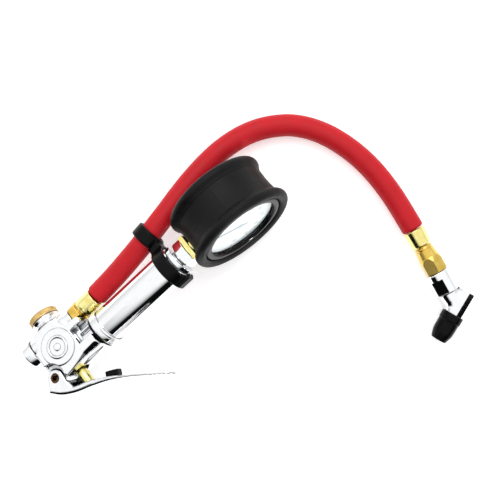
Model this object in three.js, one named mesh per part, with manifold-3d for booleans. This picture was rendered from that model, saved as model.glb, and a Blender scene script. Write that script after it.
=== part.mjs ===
// Tyre inflator with gauge: a cast valve body with a squeeze lever, a chromed barrel that carries
// a booted dial gauge, and a short rubber whip hose with an angled chuck, clipped to the barrel.
//
// Millimetres. Row frame: +Z up, the inflator lies on the plane z = 0 and its barrel points to +X.
// Tool frame (the group `tool`): X along the barrel axis from the valve body to the gauge, origin
// where the barrel leaves its collar, -Y towards the lever and the dial's face, Z out of the
// valve body's flat face.
import * as THREE from 'three';
import { mergeVertices } from 'three/addons/utils/BufferGeometryUtils.js';
import Module from 'manifold-3d';

const wasm = await Module();
wasm.setup();

// ---------------------------------------------------------------- driving dimensions
const DEG = Math.PI / 180;
const GAP = 0.3;                              // air left between neighbouring pieces
const RISE = 6.4 * DEG;                       // the gauge end of the barrel is higher than the body
const ROLL = 16.9 * DEG;                      // the lever side is rolled up off the table
const SEAT = new THREE.Vector3(-46.3, 7.9, 26.93); // the tool frame's origin in the row frame

const BARREL_R = 12.7;
const BARREL_END = 67.6;
const BARREL_BORE = 5;
const COLLAR_R = 14.5;
const PORT_R = 11.2;                          // valve body's barrel port
const PORT_FACE = -7.4;

const BODY_HALF = 15;                         // half thickness of the valve body
const VALVE_X = -35.4;                        // the valve bore runs along Y here
const CROSS_Y = 22.2;                         // rear cap and hose port share this cross axis
const BOSS = { x: -33.2, y: 8.8, r: 13.2, proud: 0.8 };
const INLET_R = 11;
const INLET_FACE = 40;
const INLET_SEAT = 35.2;
const REAR_FACE = -52.6;
const HOSE_PORT_FACE = -15.8;
const CHAMBER_R = 4.4;                        // bore that the plunger slides in
const PASSAGE_R = 2;                          // air passages between the ports
const HOSE_PORT_RECESS_R = 8.8;               // clears the block round the hose nut
const RELIEF_R = 9.8;                         // cut beside the tongue for the lever's ears

const PIN = { x: -49.8, y: -5.8, r: 2.9, bore: 1.9 };
const LEVER_HALF = 11.5;                      // half width of the lever over its ears
const LEVER_SHEET = 2;
const TONGUE_HALF = 9;                        // half width of the casting between the ears
const TONGUE_R = 7;
const EAR_R = 7.2;
const TIP_HALF = 9;                           // half width of the lever's tip
const PLUNGER_R = 4.05;
const PLUNGER_TIP = -23.8;
const GLAND_R = 6.8;                          // counterbore for the plunger's gland

const GAUGE_X = 118;                          // centre of the gauge on the barrel axis
const CASE_R = 30.4;
const DIAL_R = 26.5;
const BOOT = { front: -14.2, back: 16, frontR: 38.2, backR: 36.9, waistR: 33.7, bead: 3.6 };

const MODULE_MM = 0.35;                       // gauge movement gears
const PINION_TEETH = 12;
const SECTOR_TEETH = 72;                      // teeth on the full circle that the sector is cut from

const HOSE_R = 8;
const HOSE_SIDES = 12;
const HOSE_STEPS = 22;
const HOSE_START = 5.6;                       // where the rubber leaves the body's ferrule
const CLIP = { from: 57.6, to: 67.4, wall: 1.9, slack: 0.9 };
const HOSE_AT_CLIP = { y: 27.7, dip: 5, turn: 8 }; // centre and lean of the hose there, degrees

// Axes that several pieces share, each given by a point on it.
const ORIGIN = [0, 0, 0];
const VALVE_AXIS = [VALVE_X, 0, 0];
const CROSS_AXIS = [0, CROSS_Y, 0];
const PIN_AXIS = [PIN.x, PIN.y, 0];
const GAUGE_AXIS = [GAUGE_X, 0, 0];

// ---------------------------------------------------------------- finishes
function finish(color, roughness, metalness) {
  return { color, roughness, metalness };
}
const CHROME = finish(0xe6e8ea, 0.08, 1);
const STEEL = finish(0xb9bcc0, 0.3, 1);
const BRASS = finish(0xd9ab3f, 0.22, 1);
const BLACK_RUBBER = finish(0x1c1c1d, 0.7, 0);
const BLACK_PLASTIC = finish(0x161617, 0.4, 0);
const RED_RUBBER = finish(0xd2232e, 0.55, 0);
const WHITE_ENAMEL = finish(0xf4f4f2, 0.5, 0);
const CLEAR = finish(0xeef4f6, 0.05, 0);

// ---------------------------------------------------------------- solids
// A closed manifold solid from any closed three.js geometry, turned outside out if it has to be.
function solid(geometry) {
  const bare = geometry.clone();
  bare.deleteAttribute('normal');
  bare.deleteAttribute('uv');
  const welded = mergeVertices(bare, 1e-4);
  const xyz = welded.attributes.position.array;
  const index = welded.index.array;
  const corner = (i) => new THREE.Vector3(xyz[3 * i], xyz[3 * i + 1], xyz[3 * i + 2]);
  const faces = [];
  let volume = 0;
  for (let i = 0; i < index.length; i += 3) {
    const [a, b, c] = [index[i], index[i + 1], index[i + 2]];
    if (a !== b && b !== c && c !== a) {
      faces.push([a, b, c]);
      volume += corner(a).dot(corner(b).cross(corner(c))) / 6;
    }
  }
  const outward = volume < 0 ? faces.map(([a, b, c]) => [a, c, b]) : faces;
  const mesh = new wasm.Mesh({
    numProp: 3,
    vertProperties: new Float32Array(xyz),
    triVerts: Uint32Array.from(outward.flat()),
  });
  return new wasm.Manifold(mesh);
}

function geometryOf(body) {
  const mesh = body.getMesh();
  const geometry = new THREE.BufferGeometry();
  geometry.setAttribute('position', new THREE.BufferAttribute(mesh.vertProperties.slice(), 3));
  geometry.setIndex(new THREE.BufferAttribute(mesh.triVerts.slice(), 1));
  geometry.computeVertexNormals();
  return geometry;
}

const AXIS_TURN = {
  x: new THREE.Matrix4().makeRotationZ(-Math.PI / 2),
  y: new THREE.Matrix4(),
  z: new THREE.Matrix4().makeRotationX(Math.PI / 2),
};

// A turned piece. The profile is [radius, place along the axis] pairs; one that does not start
// and end on the axis is closed on itself. `at` is a point of the axis.
function turned(axis, profile, at = ORIGIN, segments = 24) {
  const points = profile.map(([r, along]) => new THREE.Vector2(r, along));
  const onAxis = profile[0][0] === 0 && profile[profile.length - 1][0] === 0;
  if (!onAxis) {
    points.push(points[0].clone());
  }
  const geometry = new THREE.LatheGeometry(points, segments);
  geometry.applyMatrix4(AXIS_TURN[axis]);
  geometry.translate(...at);
  return solid(geometry);
}

function rod(axis, r, from, to, at, segments) {
  return turned(axis, [[0, from], [r, from], [r, to], [0, to]], at, segments);
}

function ring(axis, inner, outer, from, to, at, segments) {
  return turned(axis, [[inner, from], [outer, from], [outer, to], [inner, to]], at, segments);
}

// A hexagonal bar along X with its corners eased, as a nut has. With no turn a ridge faces Z.
function hexagon(flats, from, to, turn, at) {
  const corner = flats / 2 / Math.cos(Math.PI / 6);
  const eased = 0.93 * corner;
  const drop = 0.5;
  const bar = rod('x', corner, from, to, ORIGIN, 6);
  const round = [[0, from], [eased, from], [corner, from + drop], [corner, to - drop], [eased, to], [0, to]];
  return bar.intersect(turned('x', round, ORIGIN, 32)).rotate([turn, 0, 0]).translate(at);
}

function box(from, to) {
  const size = to.map((v, i) => v - from[i]);
  const geometry = new THREE.BoxGeometry(...size);
  geometry.translate(...from.map((v, i) => v + size[i] / 2));
  return solid(geometry);
}

// An outline in the tool's XY plane, drawn out symmetrically about z = 0.
function plate(shape, half, bevel = 0, steps = 4) {
  const geometry = new THREE.ExtrudeGeometry(shape, {
    depth: 2 * (half - bevel),
    bevelEnabled: bevel > 0,
    bevelThickness: bevel,
    bevelSize: bevel,
    bevelOffset: -bevel,
    bevelSegments: 1,
    curveSegments: steps,
  });
  geometry.translate(0, 0, bevel - half);
  return solid(geometry);
}

// The same kind of outline, drawn out along -Y from y = 0 to y = -depth; the outline's y is -z.
function plan(shape, depth) {
  const geometry = new THREE.ExtrudeGeometry(shape, { depth, bevelEnabled: false, curveSegments: 6 });
  geometry.rotateX(Math.PI / 2);
  return solid(geometry);
}

function mesh(name, body, look) {
  const piece = new THREE.Mesh(geometryOf(body), new THREE.MeshStandardMaterial(look));
  piece.name = name;
  return piece;
}

const inflator = new THREE.Group();
const tool = new THREE.Group();
tool.position.copy(SEAT);
tool.rotation.set(-ROLL, -RISE, 0, 'YXZ');
inflator.add(tool);

// ---------------------------------------------------------------- valve body
// A zinc casting: a flat-faced block with a port each for the inlet, the rear cap, the hose and
// the barrel, and a tongue that the lever's ears straddle.
function bodyOutline() {
  const shape = new THREE.Shape();
  shape.moveTo(PORT_FACE, -9.6);
  shape.lineTo(-22, -9.6);
  shape.lineTo(-39.6, -11.6);
  shape.quadraticCurveTo(-42.4, -9.6, -43.4, -6);
  shape.quadraticCurveTo(-46, 0, -50.6, 3.4);
  shape.lineTo(-50.6, 15.4);
  shape.quadraticCurveTo(-47, 17, -45.6, 22);
  shape.lineTo(-44.2, 27.4);
  shape.lineTo(-27.4, 27.4);
  shape.quadraticCurveTo(-25.2, 18.4, -18.6, 17);
  shape.lineTo(-10.4, 16.2);
  shape.quadraticCurveTo(-8.4, 15.6, -8.4, 13.4);
  shape.lineTo(-8.4, 9.6);
  shape.lineTo(PORT_FACE, 8.6);
  shape.closePath();
  return shape;
}

function valveBody() {
  const inletPort = [
    [0, 12], [9.6, 12], [9.6, 28.2], [10.1, 28.6], [10.1, 30], [9.6, 30.4], [9.6, 33],
    [10.6, INLET_SEAT], [0, INLET_SEAT],
  ];
  const hosePort = [[0, -30], [8.4, -30], [7, -22], [7, HOSE_PORT_FACE], [0, HOSE_PORT_FACE]];
  const rearPort = [[0, REAR_FACE], [8.8, REAR_FACE], [8.8, -48], [9.6, -44], [0, -44]];
  const casting = plate(bodyOutline(), BODY_HALF, 1.4)
    .add(turned('y', inletPort, VALVE_AXIS, 24))
    .add(turned('x', hosePort, CROSS_AXIS))
    .add(turned('x', rearPort, CROSS_AXIS))
    .add(rod('x', PORT_R, -30, PORT_FACE, ORIGIN, 32))
    .add(rod('z', BOSS.r, 0, BODY_HALF + BOSS.proud, [BOSS.x, BOSS.y, 0], 32));
  // beside the tongue the block is cut back in an arc, so that the ears can turn
  const relief = rod('z', RELIEF_R, TONGUE_HALF, 20, PIN_AXIS);
  const reliefBelow = rod('z', RELIEF_R, -20, -TONGUE_HALF, PIN_AXIS);
  const tongue = rod('z', TONGUE_R, -TONGUE_HALF, TONGUE_HALF, PIN_AXIS, 28)
    .add(box([-52.6, -6, -TONGUE_HALF], [-40, 5, TONGUE_HALF]));
  const window = box([-20.6, 0.3, 8.4], [-6, 12.1, 20]).add(box([-15, 8.4, 6], [-6, 12.1, 9]));
  return casting
    .subtract(relief)
    .subtract(reliefBelow)
    .add(tongue)
    .subtract(window)
    .subtract(rod('x', HOSE_PORT_RECESS_R, HOSE_PORT_FACE, 0, CROSS_AXIS))
    .subtract(rod('z', PIN.r + GAP, -20, 20, PIN_AXIS, 20))
    .subtract(rod('y', CHAMBER_R, -20, 30, VALVE_AXIS, 24))
    .subtract(rod('y', GLAND_R, -14, -5.6, VALVE_AXIS, 24))
    .subtract(rod('y', 8.3, 29.6, 50, VALVE_AXIS, 24))
    .subtract(rod('x', 6, -60, -42, CROSS_AXIS, 24))
    .subtract(rod('x', 8.1, -60, -50.9, CROSS_AXIS, 24))
    .subtract(rod('x', 4.9, -28, -10, CROSS_AXIS, 24))
    .subtract(rod('x', PASSAGE_R, -36, -20, CROSS_AXIS, 12))
    .subtract(rod('x', 10.3, -17, 0, ORIGIN, 32))
    .subtract(rod('x', PASSAGE_R, -36, -12, [0, 4, 0], 12));
}
tool.add(mesh('valve_body', valveBody(), CHROME));

// ---------------------------------------------------------------- inlet
function inletBushing() {
  const flange = 8;
  const profile = [
    [5.8, 30.4], [flange, 30.4], [flange, INLET_SEAT + GAP], [INLET_R, INLET_SEAT + GAP],
    [INLET_R, INLET_FACE - 0.5], [INLET_R - 0.5, INLET_FACE], [5.8, INLET_FACE],
  ];
  return turned('y', profile, VALVE_AXIS, 32);
}
tool.add(mesh('inlet_bushing', inletBushing(), BRASS));

const screenProfile = [[0, 33], [5.5, 33], [5.5, 34.2], [4.9, 34.2], [4.2, 33.7], [0, 33.7]];
tool.add(mesh('inlet_screen', turned('y', screenProfile, VALVE_AXIS, 20), STEEL));

// ---------------------------------------------------------------- rear cap
const capProfile = [
  [0, -60.6], [8.8, -60.6], [10.2, -59.4], [10.2, -53.6], [9.4, -53], [5.6, -53], [5.6, -43], [0, -43],
];
tool.add(mesh('rear_cap', turned('x', capProfile, CROSS_AXIS, 32), CHROME));
const sealProfile = [[5.9, -52.1], [6.3, -52.6], [7.3, -52.6], [7.8, -52.1], [7.3, -51.3], [6.3, -51.3]];
tool.add(mesh('rear_cap_seal', turned('x', sealProfile, CROSS_AXIS, 24), BLACK_RUBBER));

// ---------------------------------------------------------------- trigger plunger and spool
// The plunger and the spool are screwed together and slide as one along the valve bore.
function triggerPlunger() {
  const dome = 5.5;
  const tip = [[0, PLUNGER_TIP]];
  for (let i = 1; i <= 4; i += 1) {
    const r = PLUNGER_R * i / 4 - (i === 4 ? 0.25 : 0);
    tip.push([r, PLUNGER_TIP + dome - Math.sqrt(dome * dome - r * r)]);
  }
  const shank = [[PLUNGER_R, PLUNGER_TIP + 2.1], [PLUNGER_R, -3], [1.5, -3], [1.5, 3], [0, 3]];
  return turned('y', [...tip, ...shank], VALVE_AXIS, 32);
}
tool.add(mesh('trigger_plunger', triggerPlunger(), BRASS));

const glandProfile = [[4.4, -11.4], [6, -11.4], [6.4, -11], [6.4, -6], [4.4, -6]];
tool.add(mesh('plunger_gland', turned('y', glandProfile, VALVE_AXIS, 20), BRASS));

const SEAL_PLACES = { spool_seal_lower: 2.4, spool_seal_upper: 14 };
function valveSpool() {
  const outer = 3.9;
  const groove = 2.6;
  const profile = [[0, -2.4], [outer, -2.4]];
  for (const y of Object.values(SEAL_PLACES)) {
    profile.push([outer, y], [groove, y], [groove, y + 2.2], [outer, y + 2.2]);
  }
  profile.push([outer, 22], [2.2, 22], [2.2, 24.6], [0, 24.6]);
  const socket = rod('y', 1.8, -4, 3.4, VALVE_AXIS, 20);
  return turned('y', profile, VALVE_AXIS, 20).subtract(socket);
}
tool.add(mesh('valve_spool', valveSpool(), BRASS));
for (const [name, y] of Object.entries(SEAL_PLACES)) {
  const section = [
    [2.9, y + 1.1], [3.3, y + 0.3], [3.9, y + 0.3], [4.15, y + 1.1], [3.9, y + 1.9], [3.3, y + 1.9],
  ];
  tool.add(mesh(name, turned('y', section, VALVE_AXIS, 20), BLACK_RUBBER));
}

// A coil spring along +Y from y = `from` to y = `to`, then laid where `place` says.
function springAt(coilR, wireR, turns, from, to, place) {
  const wire = new THREE.Shape();
  wire.absarc(0, 0, wireR, 0, 2 * Math.PI, false);
  class Helix extends THREE.Curve {
    getPoint(t, target = new THREE.Vector3()) {
      const angle = 2 * Math.PI * turns * t;
      const y = from + wireR + t * (to - from - 2 * wireR);
      return target.set(coilR * Math.cos(angle), y, coilR * Math.sin(angle));
    }
  }
  const geometry = new THREE.ExtrudeGeometry(wire, {
    steps: 9 * turns,
    extrudePath: new Helix(),
    curveSegments: 2,
  });
  geometry.applyMatrix4(place);
  return solid(geometry);
}
const spoolSpringPlace = new THREE.Matrix4().makeTranslation(VALVE_X, 0, 0);
tool.add(mesh('spool_spring', springAt(3.1, 0.4, 4, 22.4, 32.6, spoolSpringPlace), STEEL));

// ---------------------------------------------------------------- lever
const LEVER_LINE = [
  [-60.4, -11], [-53.8, -17.7], [-44.4, -23.2], [-31.6, -27.8], [-18.6, -33.2], [-6, -40.4],
  [8, -50.4], [20.6, -59.5],
];
function leverLine() {
  const points = LEVER_LINE.map(([x, y]) => new THREE.Vector3(x, y, 0));
  return new THREE.CatmullRomCurve3(points, false, 'centripetal');
}

// A point on the inner side of the lever's outer line, `depth` away from it.
function inward(curve, t, depth) {
  const tangent = curve.getTangent(t);
  const point = curve.getPoint(t);
  return new THREE.Vector2(point.x - tangent.y * depth, point.y + tangent.x * depth);
}

// The lever's outer line, and the line that lies depthAt(t) inside it.
function leverOutline(depthAt) {
  const curve = leverLine();
  const steps = 20;
  const outer = [];
  const inner = [];
  for (let i = 0; i <= steps; i += 1) {
    const t = i / steps;
    outer.push(inward(curve, t, 0));
    inner.push(inward(curve, t, depthAt(t)));
  }
  return { outer, inner };
}

function triggerLever() {
  const flangeDepth = (t) => Math.max(LEVER_SHEET, 5 - 3.4 * Math.max(0, t - 0.42) / 0.3);
  const flange = leverOutline(flangeDepth);
  const kept = flange.inner.filter((p) => p.x > -43.6);
  const side = new THREE.Shape();
  side.moveTo(flange.outer[0].x, flange.outer[0].y);
  side.lineTo(-55, -0.4);
  side.absarc(PIN.x, PIN.y, EAR_R, 135 * DEG, 10 * DEG, true);
  side.lineTo(-43.4, -12);
  kept.forEach((p) => side.lineTo(p.x, p.y));
  flange.outer.slice().reverse().forEach((p) => side.lineTo(p.x, p.y));
  const web = leverOutline(() => LEVER_SHEET);
  const channel = new THREE.Shape();
  channel.moveTo(web.inner[0].x - 3, web.inner[0].y + 3);
  web.inner.forEach((p) => channel.lineTo(p.x, p.y));
  channel.lineTo(40, 20);
  channel.lineTo(-70, 20);
  channel.closePath();
  const full = new THREE.Shape();
  full.moveTo(-70, -LEVER_HALF);
  full.lineTo(-30, -LEVER_HALF);
  full.lineTo(10, -TIP_HALF);
  full.quadraticCurveTo(21.4, -TIP_HALF, 21.4, 0);
  full.quadraticCurveTo(21.4, TIP_HALF, 10, TIP_HALF);
  full.lineTo(-30, LEVER_HALF);
  full.lineTo(-70, LEVER_HALF);
  full.closePath();
  const inside = new THREE.Shape();
  inside.moveTo(-80, -LEVER_HALF + LEVER_SHEET);
  inside.lineTo(-30, -LEVER_HALF + LEVER_SHEET);
  inside.lineTo(10, LEVER_SHEET - TIP_HALF);
  inside.lineTo(30, LEVER_SHEET - TIP_HALF);
  inside.lineTo(30, TIP_HALF - LEVER_SHEET);
  inside.lineTo(10, TIP_HALF - LEVER_SHEET);
  inside.lineTo(-30, LEVER_HALF - LEVER_SHEET);
  inside.lineTo(-80, LEVER_HALF - LEVER_SHEET);
  inside.closePath();
  const reach = 120;
  const planFull = plan(full, reach).translate([0, 40, 0]);
  const planInside = plan(inside, reach).translate([0, 40, 0]);
  const hollow = plate(channel, 20).intersect(planInside);
  return plate(side, LEVER_HALF)
    .intersect(planFull)
    .subtract(hollow)
    .subtract(rod('z', PIN.r + GAP, -20, 20, PIN_AXIS, 20));
}
tool.add(mesh('trigger_lever', triggerLever(), CHROME));

const rollPin = ring('z', PIN.bore, PIN.r, -LEVER_HALF - 0.2, LEVER_HALF + 0.2, PIN_AXIS, 20);
tool.add(mesh('lever_pin', rollPin, STEEL));

// The rubber bumper stands on the lever's web and meets the casting at full squeeze.
function leverBumper() {
  const length = 9.8;
  const height = 5.2;
  const foot = new THREE.Shape();
  foot.moveTo(-length / 2, 0);
  foot.lineTo(length / 2, 0);
  foot.lineTo(length / 2, height - 1.2);
  foot.quadraticCurveTo(length / 2, height, length / 2 - 1.2, height);
  foot.lineTo(-length / 2 + 1.2, height);
  foot.quadraticCurveTo(-length / 2, height, -length / 2, height - 1.2);
  foot.closePath();
  const curve = leverLine();
  const t = 0.566;
  const seat = inward(curve, t, LEVER_SHEET + GAP);
  const tangent = curve.getTangent(t);
  const turn = Math.atan2(tangent.y, tangent.x) / DEG;
  return plate(foot, 3.6).rotate([0, 0, turn]).translate([seat.x, seat.y, 0]);
}
tool.add(mesh('lever_bumper', leverBumper(), BLACK_RUBBER));

// ---------------------------------------------------------------- barrel
const tubeProfile = [
  [BARREL_BORE, -16.6], [9.6, -16.6], [10, -16.2], [10, PORT_FACE + 0.2], [11, PORT_FACE + 0.2],
  [11, -5], [BARREL_R, -5], [BARREL_R, BARREL_END - 1], [BARREL_R - 1, BARREL_END], [7.4, BARREL_END],
  [7.4, BARREL_END - 7], [BARREL_BORE, BARREL_END - 7],
];
tool.add(mesh('barrel_tube', turned('x', tubeProfile, ORIGIN, 32), CHROME));
const collarProfile = [
  [BARREL_R + GAP, -4.8], [COLLAR_R - 0.8, -4.8], [COLLAR_R, -4], [COLLAR_R, 0.4], [COLLAR_R - 0.8, 1.2],
  [BARREL_R + GAP, 1.2],
];
tool.add(mesh('barrel_collar', turned('x', collarProfile, ORIGIN, 32), CHROME));
tool.add(mesh('barrel_seal', ring('x', 11.3, 12.3, -7.1, -5.3, ORIGIN, 32), BLACK_RUBBER));

const endCapProfile = [
  [4, BARREL_END - 6.6], [7.1, BARREL_END - 6.6], [7.1, BARREL_END + GAP], [11.2, BARREL_END + GAP],
  [11.6, BARREL_END + 0.7], [11.6, 71], [11.2, 71.4], [4, 71.4],
];
tool.add(mesh('barrel_end_cap', turned('x', endCapProfile, ORIGIN, 32), CHROME));

// ---------------------------------------------------------------- hose clip
// A moulded figure of eight: one loop grips the barrel, the other guides the hose past it.
function hoseClip() {
  const width = CLIP.to - CLIP.from;
  const middle = (CLIP.from + CLIP.to) / 2;
  const barrelInner = BARREL_R + GAP;
  const barrelOuter = barrelInner + CLIP.wall;
  const hoseInner = HOSE_R + CLIP.slack;
  const hoseOuter = hoseInner + CLIP.wall;
  const place = (body) => body.rotate([0, HOSE_AT_CLIP.dip, HOSE_AT_CLIP.turn])
    .translate([middle, HOSE_AT_CLIP.y, 0]);
  const hoseDisc = place(rod('x', hoseOuter, -width / 2, width / 2, ORIGIN, 32));
  const hoseHole = place(rod('x', hoseInner, -width, width, ORIGIN, 32));
  const bridge = box([CLIP.from + 0.6, 8, -5], [CLIP.to - 0.6, 22, 5]);
  const lug = new THREE.Shape();
  lug.moveTo(CLIP.from + 0.9, -10);
  lug.lineTo(CLIP.from + 0.9, -16.2);
  lug.lineTo(CLIP.to + 1.4, -16.2);
  lug.lineTo(CLIP.to + 2.8, -14.2);
  lug.lineTo(CLIP.to + 2.8, -12.9);
  lug.lineTo(CLIP.to - 0.4, -12);
  lug.lineTo(CLIP.to - 0.4, -10);
  lug.closePath();
  return rod('x', barrelOuter, CLIP.from, CLIP.to, ORIGIN, 32)
    .add(hoseDisc)
    .add(bridge)
    .add(plate(lug, 4))
    .subtract(rod('x', barrelInner, CLIP.from - 5, CLIP.to + 5, ORIGIN, 32))
    .subtract(hoseHole);
}
tool.add(mesh('hose_clip', hoseClip(), BLACK_PLASTIC));

// ---------------------------------------------------------------- gauge mounting
const gaugeNut = hexagon(18, 73, 80.4, -20, ORIGIN)
  .add(rod('x', 6.6, 71.7, 74, ORIGIN, 28))
  .subtract(rod('x', 4.6, 70, 82, ORIGIN, 24));
tool.add(mesh('gauge_nut', gaugeNut, CHROME));

const CASE_WALL_X = GAUGE_X - CASE_R;
function gaugeStem() {
  const shank = box([80.7, -7.6, -7.6], [83.5, 7.6, 7.6])
    .intersect(rod('x', 10, 80.7, 83.5, ORIGIN, 32));
  return shank
    .add(rod('x', 4.3, 71.8, 82, ORIGIN, 24))
    .add(rod('x', 6.4, 83, CASE_WALL_X + 1.2, ORIGIN, 28))
    .subtract(rod('x', 1.5, 60, 100, ORIGIN, 12));
}
tool.add(mesh('gauge_stem', gaugeStem(), BRASS));

// ---------------------------------------------------------------- gauge housing
// Turned about the dial's axis, which runs along Y through the middle of the gauge.
function gaugeCase() {
  const wall = 1.6;
  const profile = [
    [0, 15], [CASE_R - 1.2, 15], [CASE_R, 13.6], [CASE_R, -13], [CASE_R - wall, -13],
    [CASE_R - wall, 15 - wall], [0, 15 - wall],
  ];
  return turned('y', profile, GAUGE_AXIS, 40)
    .subtract(rod('x', 6.8, 80, 100, ORIGIN, 28));
}
tool.add(mesh('gauge_case', gaugeCase(), STEEL));

// The boot's outer face is a waist between two rounded rims.
function gaugeBoot() {
  const inner = CASE_R + GAP;
  const lip = 29.6;
  const profile = [[inner, -13.2], [lip + 1.4, -13.4], [lip + 1.4, -16.6]];
  const bead = (r, y, from, to) => {
    for (let i = 0; i <= 3; i += 1) {
      const angle = (from + (to - from) * i / 3) * DEG;
      profile.push([r - BOOT.bead + BOOT.bead * Math.cos(angle), y + BOOT.bead * Math.sin(angle)]);
    }
  };
  bead(BOOT.frontR, BOOT.front, -90, 40);
  profile.push([BOOT.waistR + 0.5, -8], [BOOT.waistR, -1], [BOOT.waistR + 0.3, 8]);
  bead(BOOT.backR, BOOT.back, -40, 90);
  profile.push([26, BOOT.back + BOOT.bead], [26, BOOT.back - 0.6], [inner, BOOT.back - 0.6]);
  return turned('y', profile, GAUGE_AXIS, 40)
    .subtract(rod('x', 6.8, 80, 95, ORIGIN, 28));
}
tool.add(mesh('gauge_boot', gaugeBoot(), BLACK_RUBBER));

const bezelProfile = [
  [26.6, -15.4], [27.4, -16.2], [29.8, -16.2], [30.6, -15.4], [30.6, -13.5], [26.6, -13.5],
];
tool.add(mesh('bezel', turned('y', bezelProfile, GAUGE_AXIS, 40), BLACK_PLASTIC));
const lensProfile = [[0, -13.3], [28.2, -13.1], [28.2, -11.6], [0, -11.8]];
tool.add(mesh('gauge_lens', turned('y', lensProfile, GAUGE_AXIS, 40), CLEAR));
const dial = ring('y', 1.4, DIAL_R, -10.2, -9.5, GAUGE_AXIS, 40);
tool.add(mesh('dial_plate', dial, WHITE_ENAMEL));

// ---------------------------------------------------------------- gauge movement
// A gear blank in the XY plane with straight-sided teeth, thin enough to leave backlash.
function gearOutline(teeth, from, count) {
  const pitchR = MODULE_MM * teeth / 2;
  const outerR = pitchR + 0.85 * MODULE_MM;
  const rootR = pitchR - 1.15 * MODULE_MM;
  const step = 2 * Math.PI / teeth;
  const points = [];
  for (let i = 0; i < count; i += 1) {
    const middle = from + i * step;
    const spot = (r, share) => new THREE.Vector2(
      r * Math.cos(middle + share * step),
      r * Math.sin(middle + share * step),
    );
    points.push(spot(rootR, -0.3), spot(outerR, -0.11), spot(outerR, 0.11), spot(rootR, 0.3));
  }
  if (count < teeth) {
    points.push(new THREE.Vector2(0, 0));
  }
  return new THREE.Shape(points);
}

// A flat piece of that outline, from z = 0 up.
function slab(shape, depth, curveSegments = 5) {
  return solid(new THREE.ExtrudeGeometry(shape, { depth, bevelEnabled: false, curveSegments }));
}

// Lays a piece drawn in the dial's plane (x right, y up as the dial is read, z to the reader)
// into the tool frame, with the dial's "up" along the barrel.
const DIAL_PLANE = new THREE.Matrix4().makeBasis(
  new THREE.Vector3(0, 0, -1),
  new THREE.Vector3(1, 0, 0),
  new THREE.Vector3(0, -1, 0),
).setPosition(GAUGE_X, 0, 0);
function onDial(body) {
  return body.transform(DIAL_PLANE.elements.slice());
}

const CENTRES = MODULE_MM * (PINION_TEETH + SECTOR_TEETH) / 2;
const SECTOR_SWEEP = 45 * DEG;
const GEAR_LAYER = 4.6;                       // height of the gears above the barrel axis plane
const GEAR_THICK = 1.4;
const LINK_LAYER = 6.6;                       // the link and the hairspring lie over the gears

// At rest the sector stands half its sweep to one side, and the pinion's tooth spaces meet it.
function sectorGear() {
  const count = 15;
  const step = 2 * Math.PI / SECTOR_TEETH;
  const restAngle = 90 * DEG - SECTOR_SWEEP / 2;
  const first = restAngle - step * (count - 1) / 2;
  const outline = gearOutline(SECTOR_TEETH, first, count);
  const tail = new THREE.Shape();
  tail.moveTo(-1.4, 0);
  tail.lineTo(-1, -7);
  tail.lineTo(1, -7);
  tail.lineTo(1.4, 0);
  tail.closePath();
  const arbor = rod('z', 0.8, -2.6, 2.7, ORIGIN, 12);
  return slab(outline, GEAR_THICK)
    .add(rod('z', 2.2, 0, GEAR_THICK, ORIGIN, 16))
    .add(slab(tail, GEAR_THICK).rotate([0, 0, -12]))
    .add(arbor)
    .translate([0, -CENTRES, GEAR_LAYER]);
}
tool.add(mesh('sector_gear', onDial(sectorGear()), BRASS));

function pinion() {
  const step = 2 * Math.PI / PINION_TEETH;
  const sectorStep = 2 * Math.PI / SECTOR_TEETH;
  const restAngle = 90 * DEG - SECTOR_SWEEP / 2;
  const offset = (90 * DEG - restAngle) / sectorStep - 7;
  const toothPhase = offset - Math.round(offset);
  const meshAngle = -90 * DEG + step * (0.5 - toothPhase);
  const outline = gearOutline(PINION_TEETH, meshAngle, PINION_TEETH);
  const shaft = turned('z', [
    [0, -2.6], [0.8, -2.6], [0.8, 5.4], [0.6, 5.4], [0.6, 6.2], [0, 6.2],
  ], ORIGIN, 12);
  return slab(outline, GEAR_THICK).add(shaft).translate([0, 0, GEAR_LAYER]);
}
tool.add(mesh('pinion_shaft', onDial(pinion()), BRASS));

function movementPlate(low, thickness, pillars) {
  const outline = new THREE.Shape();
  outline.moveTo(-8, -22.6);
  outline.lineTo(8, -22.6);
  outline.lineTo(9, 3);
  outline.quadraticCurveTo(0, 10, -9, 3);
  outline.closePath();
  let piece = slab(outline, thickness)
    .subtract(rod('z', 0.95, -2, 4, ORIGIN, 12))
    .subtract(rod('z', 0.95, -2, 4, [0, -CENTRES, 0], 12));
  for (const [x, y] of pillars) {
    piece = piece.add(rod('z', 0.9, thickness - 0.2, thickness + 4.5, [x, y, 0], 12));
  }
  return piece.translate([0, 0, low]);
}
const PILLARS = [[-6.6, 1.6], [6.6, 1.6], [-6.5, -21.2], [6.5, -21.2]];
tool.add(mesh('movement_plate_back', onDial(movementPlate(2.2, 0.8, PILLARS)), BRASS));
tool.add(mesh('movement_plate_front', onDial(movementPlate(7.9, 0.8, [])), BRASS));

function pointer() {
  const hand = new THREE.Shape();
  hand.moveTo(-1.1, 0);
  hand.lineTo(-0.9, -6.5);
  hand.lineTo(0.9, -6.5);
  hand.lineTo(1.1, 0);
  hand.lineTo(0.15, 21);
  hand.lineTo(-0.15, 21);
  hand.closePath();
  const zeroAngle = 135;
  return slab(hand, 0.5)
    .add(rod('z', 2, -0.1, 0.9, ORIGIN, 20))
    .subtract(rod('z', 0.9, -1, 0.4, ORIGIN, 12))
    .rotate([0, 0, zeroAngle])
    .translate([0, 0, 10.7]);
}
tool.add(mesh('pointer', onDial(pointer()), BLACK_PLASTIC));

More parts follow.
